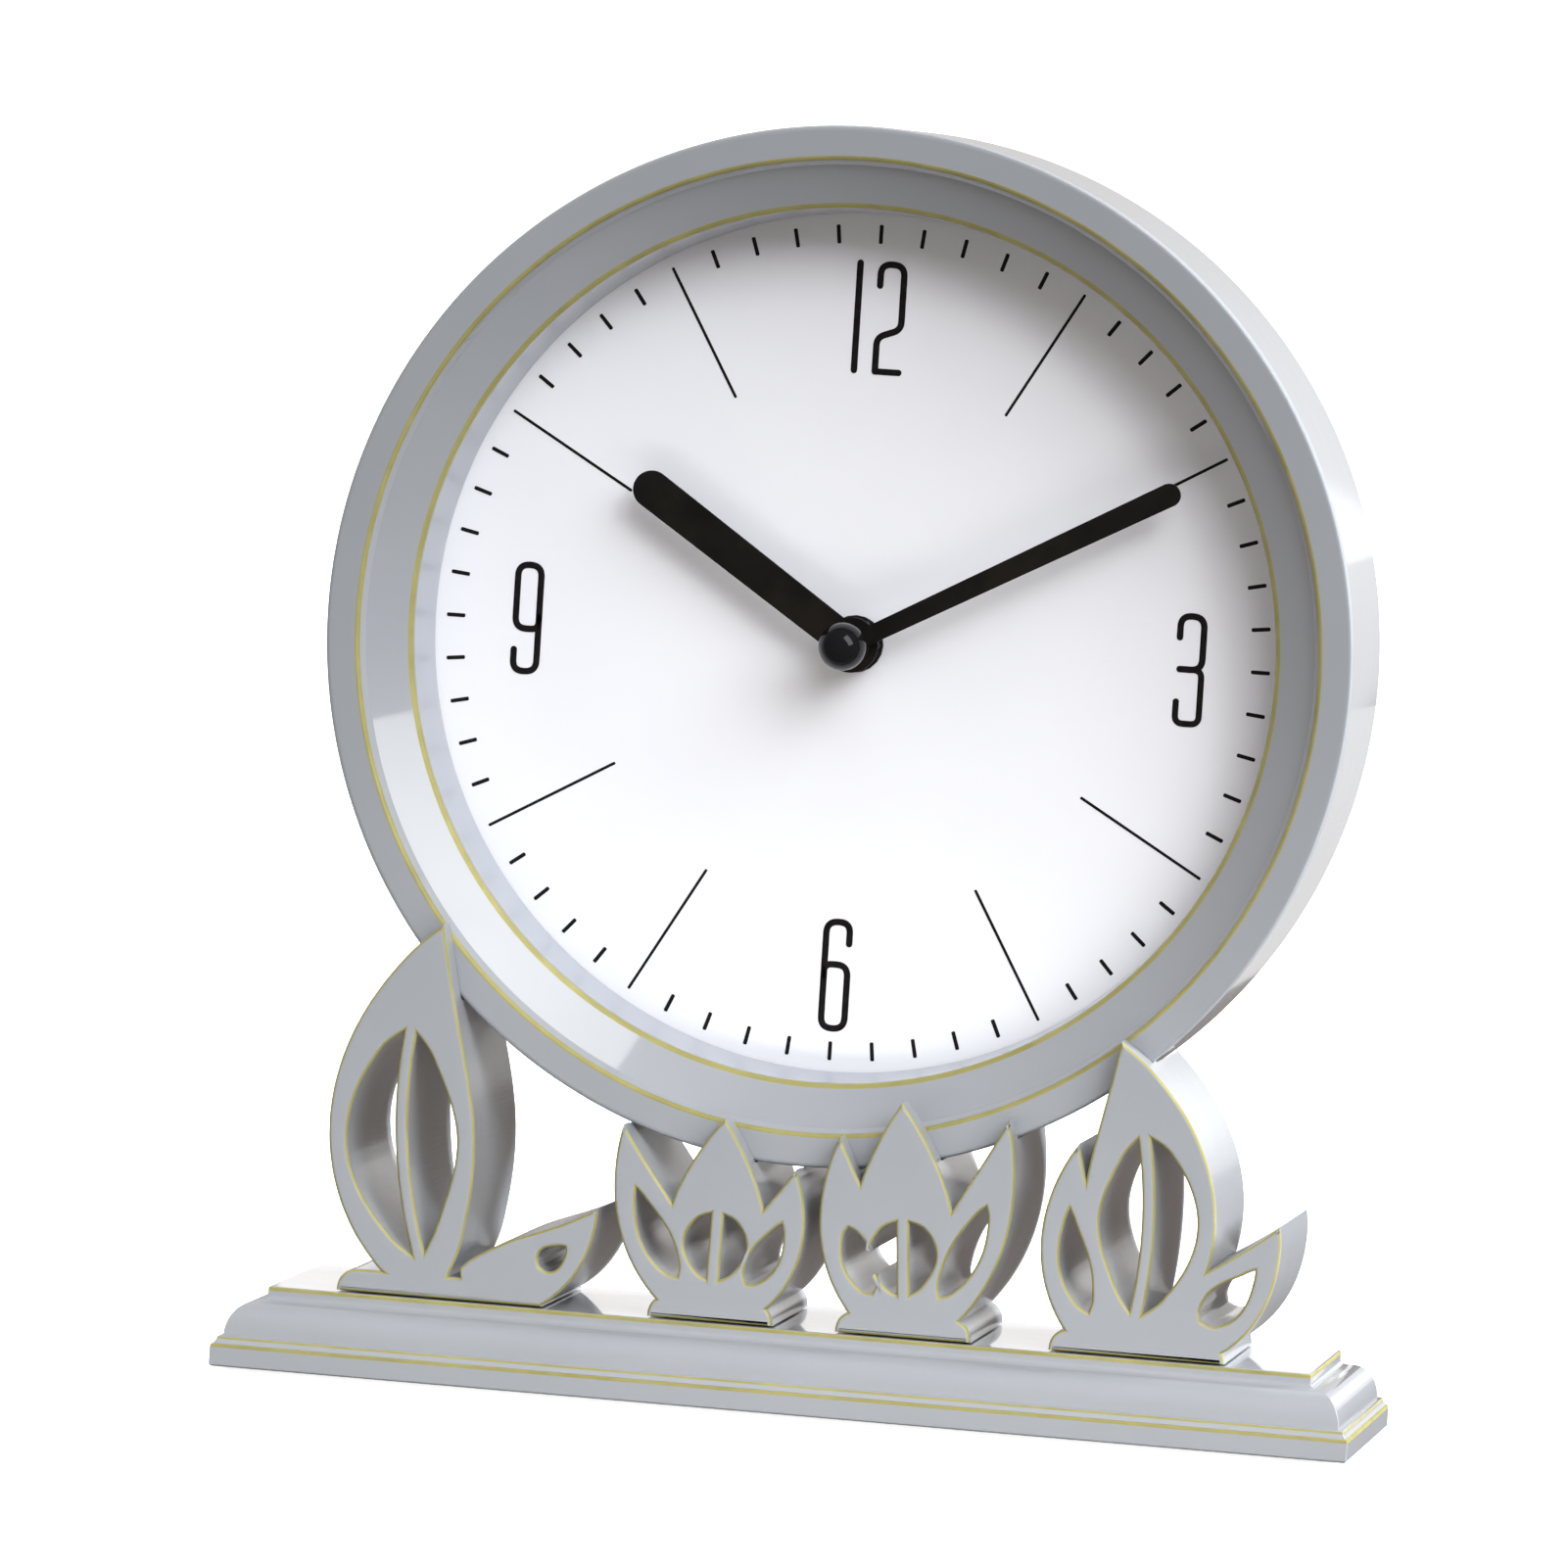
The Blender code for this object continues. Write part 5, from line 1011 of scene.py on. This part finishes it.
# %% Turn the cell
cell_low, cell_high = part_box("cell")
HALF = (cell_high.x - cell_low.x) / 2 / MM
CELL_RADIUS = 7.05
SLEEVE_END = 8.0      # from here to the + end the can is bare
cell_rings = [
    (5.2, -HALF), (5.7, 0.1 - HALF), (5.9, 0.35 - HALF), (6.2, 0.3 - HALF), (6.6, 0.1 - HALF),
    (6.95, 0.3 - HALF), (CELL_RADIUS, 0.8 - HALF), (CELL_RADIUS, SLEEVE_END), (CELL_RADIUS, HALF - 2.2),
    (6.95, HALF - 1.7), (6.6, HALF - 1.45), (6.2, HALF - 1.55), (5.9, HALF - 1.7), (5.5, HALF - 1.45),
    (3.0, HALF - 1.4), (2.75, HALF - 1.2), (2.7, HALF - 0.25), (2.45, HALF),
]
cell = turned_piece(cell_rings)


def bare_steel(face):
    across = math.hypot(face.center.x, face.center.z) / MM
    return across < 6.1 or face.center.y > SLEEVE_END * MM and across > 6.1


dress(cell, wrap, steel)
print("steel faces of the cell:", paint_faces(cell, 1, bare_steel))
cell.data.transform(Matrix.Translation(middle("cell")) @ TO_RIGHT)
settle(cell, "cell_can", 35)
hang(cell, "clock", "cell_wrap", "cell")

# %% Raised signs on the movement
SIGN_LONG, SIGN_BROAD, SIGN_HIGH = 4.2 * MM, 0.9 * MM, 0.6 * MM
SIGN_ASIDE = 22 * MM
movement_low, movement_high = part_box("movement_cover")
sign_y, sign_z = movement_high.y, movement_low.z + 3.6 * MM
signs = [block((SIGN_LONG, SIGN_HIGH, SIGN_BROAD), (x, sign_y, sign_z))
         for x in (-SIGN_ASIDE, SIGN_ASIDE)]
signs.append(block((SIGN_BROAD, SIGN_HIGH + 0.02 * MM, SIGN_LONG), (SIGN_ASIDE, sign_y, sign_z)))
for sign in signs:
    press(sign, "BEVEL", width=0.12 * MM, segments=2)
polarity = join(signs, "polarity_marks")
dress(polarity, acetal)
settle(polarity, "polarity_marks", 35)
hang(polarity, "clock", "white_plastic")
print("signs at %.1f mm height" % (sign_z / MM))

# %% The arrow on the setting knob
ARC_RADIUS = 3.3
ARROW_LINE, ARROW_HEAD = 0.55 * MM, 1.15 * MM
HEAD_TURN = math.radians(140)
knob = middle("setting_knob")
steps = [math.radians(20 * i) for i in range(2, 15)]
arc = [(ARC_RADIUS * math.cos(a), ARC_RADIUS * math.sin(a)) for a in steps]
arrow_parts = stroke(arc, 0.4, (knob.x, knob.z), 1, ARROW_LINE)
head_at = (knob.x + arc[0][0] * MM, 0, knob.z + arc[0][1] * MM)
arrow_parts.append(add(bpy.ops.mesh.primitive_cylinder_add, vertices=3, radius=ARROW_HEAD,
                       depth=ARROW_LINE, rotation=(math.radians(90), HEAD_TURN, 0), location=head_at))
arrow = join(arrow_parts, "setting_arrow")
arrow.data.transform(Matrix.Translation((0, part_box("setting_knob")[1].y, 0)) @ flatten)
close_up(arrow, False)
dress(arrow, ink)
settle(arrow, "setting_arrow", 30)
hang(arrow, "setting_set", "hand_black")
print("arrow and signs in place")

# %% [markdown]
# ## Finishes for the solids that stay as they are
# Wheels, washers, arbors and covers already have their true shape, so they only change their finish.

# %% Finish the working parts
solid_finishes = {
    "base_plate": black_plastic, "rear_cover": black_plastic, "movement_case": black_plastic,
    "movement_cover": black_plastic, "clock_chip": black_plastic, "circuit_board": board,
    "motion_wheel": acetal, "third_wheel": acetal, "second_wheel": acetal, "intermediate_wheel": acetal,
    "setting_knob": acetal, "hour_wheel": brass, "centre_wheel": brass, "threaded_bush": brass,
    "hex_nut": blackened, "brass_washer": blackened, "rubber_washer": rubber, "coil": copper,
    "cell": wrap, "hour_hand": hand_paint, "minute_hand": hand_paint, "hand_cap": gloss_black,
    "drum_case": lacquer, "plinth": lacquer, "dial": paper,
}
for name, node in nodes.items():
    if name.startswith("foot"):
        dress(node, rubber)
    elif "_support_" in name:
        dress(node, lacquer)
    else:
        dress(node, solid_finishes.get(name, steel))
print("finished", len(nodes), "solids")

# %% [markdown]
# ## Floor and light
# The clock stands on a pale floor between white walls, as in a product studio.
# Floor and walls are bright only for the camera, so the lamps alone shape the clock.
# Broad suns do that: the key from the upper right, one overhead and weak fills from the sides.
# Each reflection has a card of its own: a softbox, whose square lies on the sloping ring,
# and cards behind the clock that whiten the tops and the drum's side. The lowest is for the drum alone.

# %% Floor and lit walls
ROOM = 12


def stage_plane(name, paint, place, turn=(0, 0, 0)):
    plane = add(bpy.ops.mesh.primitive_plane_add, size=ROOM, location=place, rotation=turn)
    plane.name = name
    dress(plane, paint)
    plane.visible_diffuse = False
    plane.visible_glossy = False
    return plane


WHITE = (1, 1, 1, 1)
floor_paint = Finish("studio_floor", (0.8, 0.8, 0.8), 0.9, Emission_Color=WHITE, Emission_Strength=0.85)
floor_paint.vary_colour(floor_paint.noise(3.0, 2.0), (0.795, 0.795, 0.795), (0.805, 0.805, 0.805))
stage_plane("studio_floor", floor_paint, (0, 0, 0))
wall_light = Finish("studio_wall", (0.9, 0.9, 0.9), 0.9, Emission_Color=WHITE, Emission_Strength=1.0)
for quarter_turn in range(4):
    side = math.radians(90 * quarter_turn)
    place = (ROOM / 2 * math.sin(side), ROOM / 2 * math.cos(side), ROOM / 2)
    wall = stage_plane("studio_wall_%d" % quarter_turn, wall_light, place, (math.radians(90), 0, -side))
    wall.visible_shadow = False


# %% Lights and sky
def aim(light, azimuth, elevation, distance, target):
    """Hang a light, at degrees to the right of the front and up, and point it at its target."""
    side, up = math.radians(azimuth), math.radians(elevation)
    way = Vector((math.sin(side) * math.cos(up), -math.cos(side) * math.cos(up), math.sin(up)))
    lamp = bpy.data.objects.new(light.name, light)
    lamp.location = Vector(target) + way * distance
    lamp.rotation_euler = (-way).to_track_quat("-Z", "Y").to_euler()
    bpy.context.scene.collection.objects.link(lamp)
    return lamp


def area_light(name, azimuth, elevation, distance, width, height, watts, target=(0, 0, AXIS_Z)):
    light = bpy.data.lights.new(name, "AREA")
    light.shape = "RECTANGLE"
    light.size = width
    light.size_y = height
    light.energy = watts
    lamp = aim(light, azimuth, elevation, distance, target)
    lamp.visible_camera = False
    return lamp


def card(name, width, height, watts, target, azimuth=180, elevation=0, distance=1.5):
    """A lit card that shows in reflections alone, usually behind the clock."""
    made = area_light(name, azimuth, elevation, distance, width, height, watts, target)
    made.visible_diffuse = False
    return made


def soft_sun(name, azimuth, elevation, strength, spread, colour=(0.955, 1.0, 1.06)):
    """A broad light that no reflection shows."""
    light = bpy.data.lights.new(name, "SUN")
    light.energy = strength
    light.angle = math.radians(spread)
    light.color = colour
    aim(light, azimuth, elevation, 3.0, (0, 0, AXIS_Z)).visible_glossy = False


WARM = (1.12, 1.0, 0.93)
soft_sun("key", 53, 33, 2.3, 38)
soft_sun("key_near", 26, 33, 1.15, 30)
soft_sun("overhead", 15, 60, 0.7, 40)
soft_sun("fill_left", -75, 20, 0.3, 40, WARM)
soft_sun("side_right", 108, 16, 8.0, 20)
soft_sun("side_left", -112, 24, 1.8, 40)
softbox = card("reflection_card", 1.0, 1.9, 26.0, (0, 0, AXIS_Z), 43.6, 33.7, 2.2)
lean = Matrix.Rotation(math.radians(25.5), 3, "Z")
softbox.rotation_euler = (softbox.rotation_euler.to_matrix() @ lean).to_euler()
card("card_for_tops", 0.4, 0.22, 0.21, (-0.26, 0, 0.13))
card("card_for_drum_side", 0.34, 0.9, 0.45, (0.42, 0, 0.5))
low_card = card("card_for_low_side", 0.6, 0.55, 0.55, (0.3, 0, -0.225))
drum_only = bpy.data.collections.new("drum_only")
drum_only.objects.link(drum)
low_card.light_linking.receiver_collection = drum_only
area_light("low_strip", 5, 4, 0.13, 0.5, 0.03, 0.31, (0.03, -0.05, 0.005)).visible_glossy = False
area_light("back_glow", 180, 35, 3.0, 5.0, 4.0, 26.0)
world = bpy.data.worlds.new("white_studio")
world.use_nodes = True
world.node_tree.nodes["Background"].inputs["Color"].default_value = (*WARM, 1)
world.node_tree.nodes["Background"].inputs["Strength"].default_value = 0.2
bpy.context.scene.world = world
bpy.context.scene.view_settings.view_transform = "Standard"

# %% [markdown]
# ## Camera
# The photograph is taken from a little to the right and above, with a long lens from about two metres,
# and it is turned a few degrees clockwise. The camera first looks straight at the middle of the rim,
# then rolls, and last swings a little so that the clock sits in the frame as it does there.

# %% Camera
IMAGE, FOCAL = 1601, 10562.0      # both in pixels
SENSOR = 36.0                     # millimetres
AZIMUTH, ELEVATION, ROLL = 10.2, 3.0, 3.6
DISTANCE = 2.1
CENTRE_AT = (852.0, 662.0)
rim_centre = Vector((0, RIM, AXIS_Z))
azimuth, elevation = math.radians(AZIMUTH), math.radians(ELEVATION)
flat = math.cos(elevation)
towards = Vector((math.sin(azimuth) * flat, -math.cos(azimuth) * flat, math.sin(elevation)))
eye = rim_centre + DISTANCE * towards
camera_data = bpy.data.cameras.new("camera")
camera_data.sensor_width = SENSOR
camera_data.lens = FOCAL / IMAGE * SENSOR
camera_data.clip_start = 0.05
camera_data.clip_end = 50.0
camera = bpy.data.objects.new("camera", camera_data)
bpy.context.scene.collection.objects.link(camera)
look = (rim_centre - eye).to_track_quat("-Z", "Y").to_matrix().to_4x4()
right = math.atan((CENTRE_AT[0] - IMAGE / 2) / FOCAL)
down = math.atan((CENTRE_AT[1] - IMAGE / 2) / FOCAL)
swing = Matrix.Rotation(right, 4, "Y") @ Matrix.Rotation(down, 4, "X")
camera.matrix_world = Matrix.Translation(eye) @ look @ Matrix.Rotation(math.radians(ROLL), 4, "Z") @ swing
bpy.context.scene.camera = camera
print("lens %.1f mm, eye at %.2f m" % (camera_data.lens, eye.length))
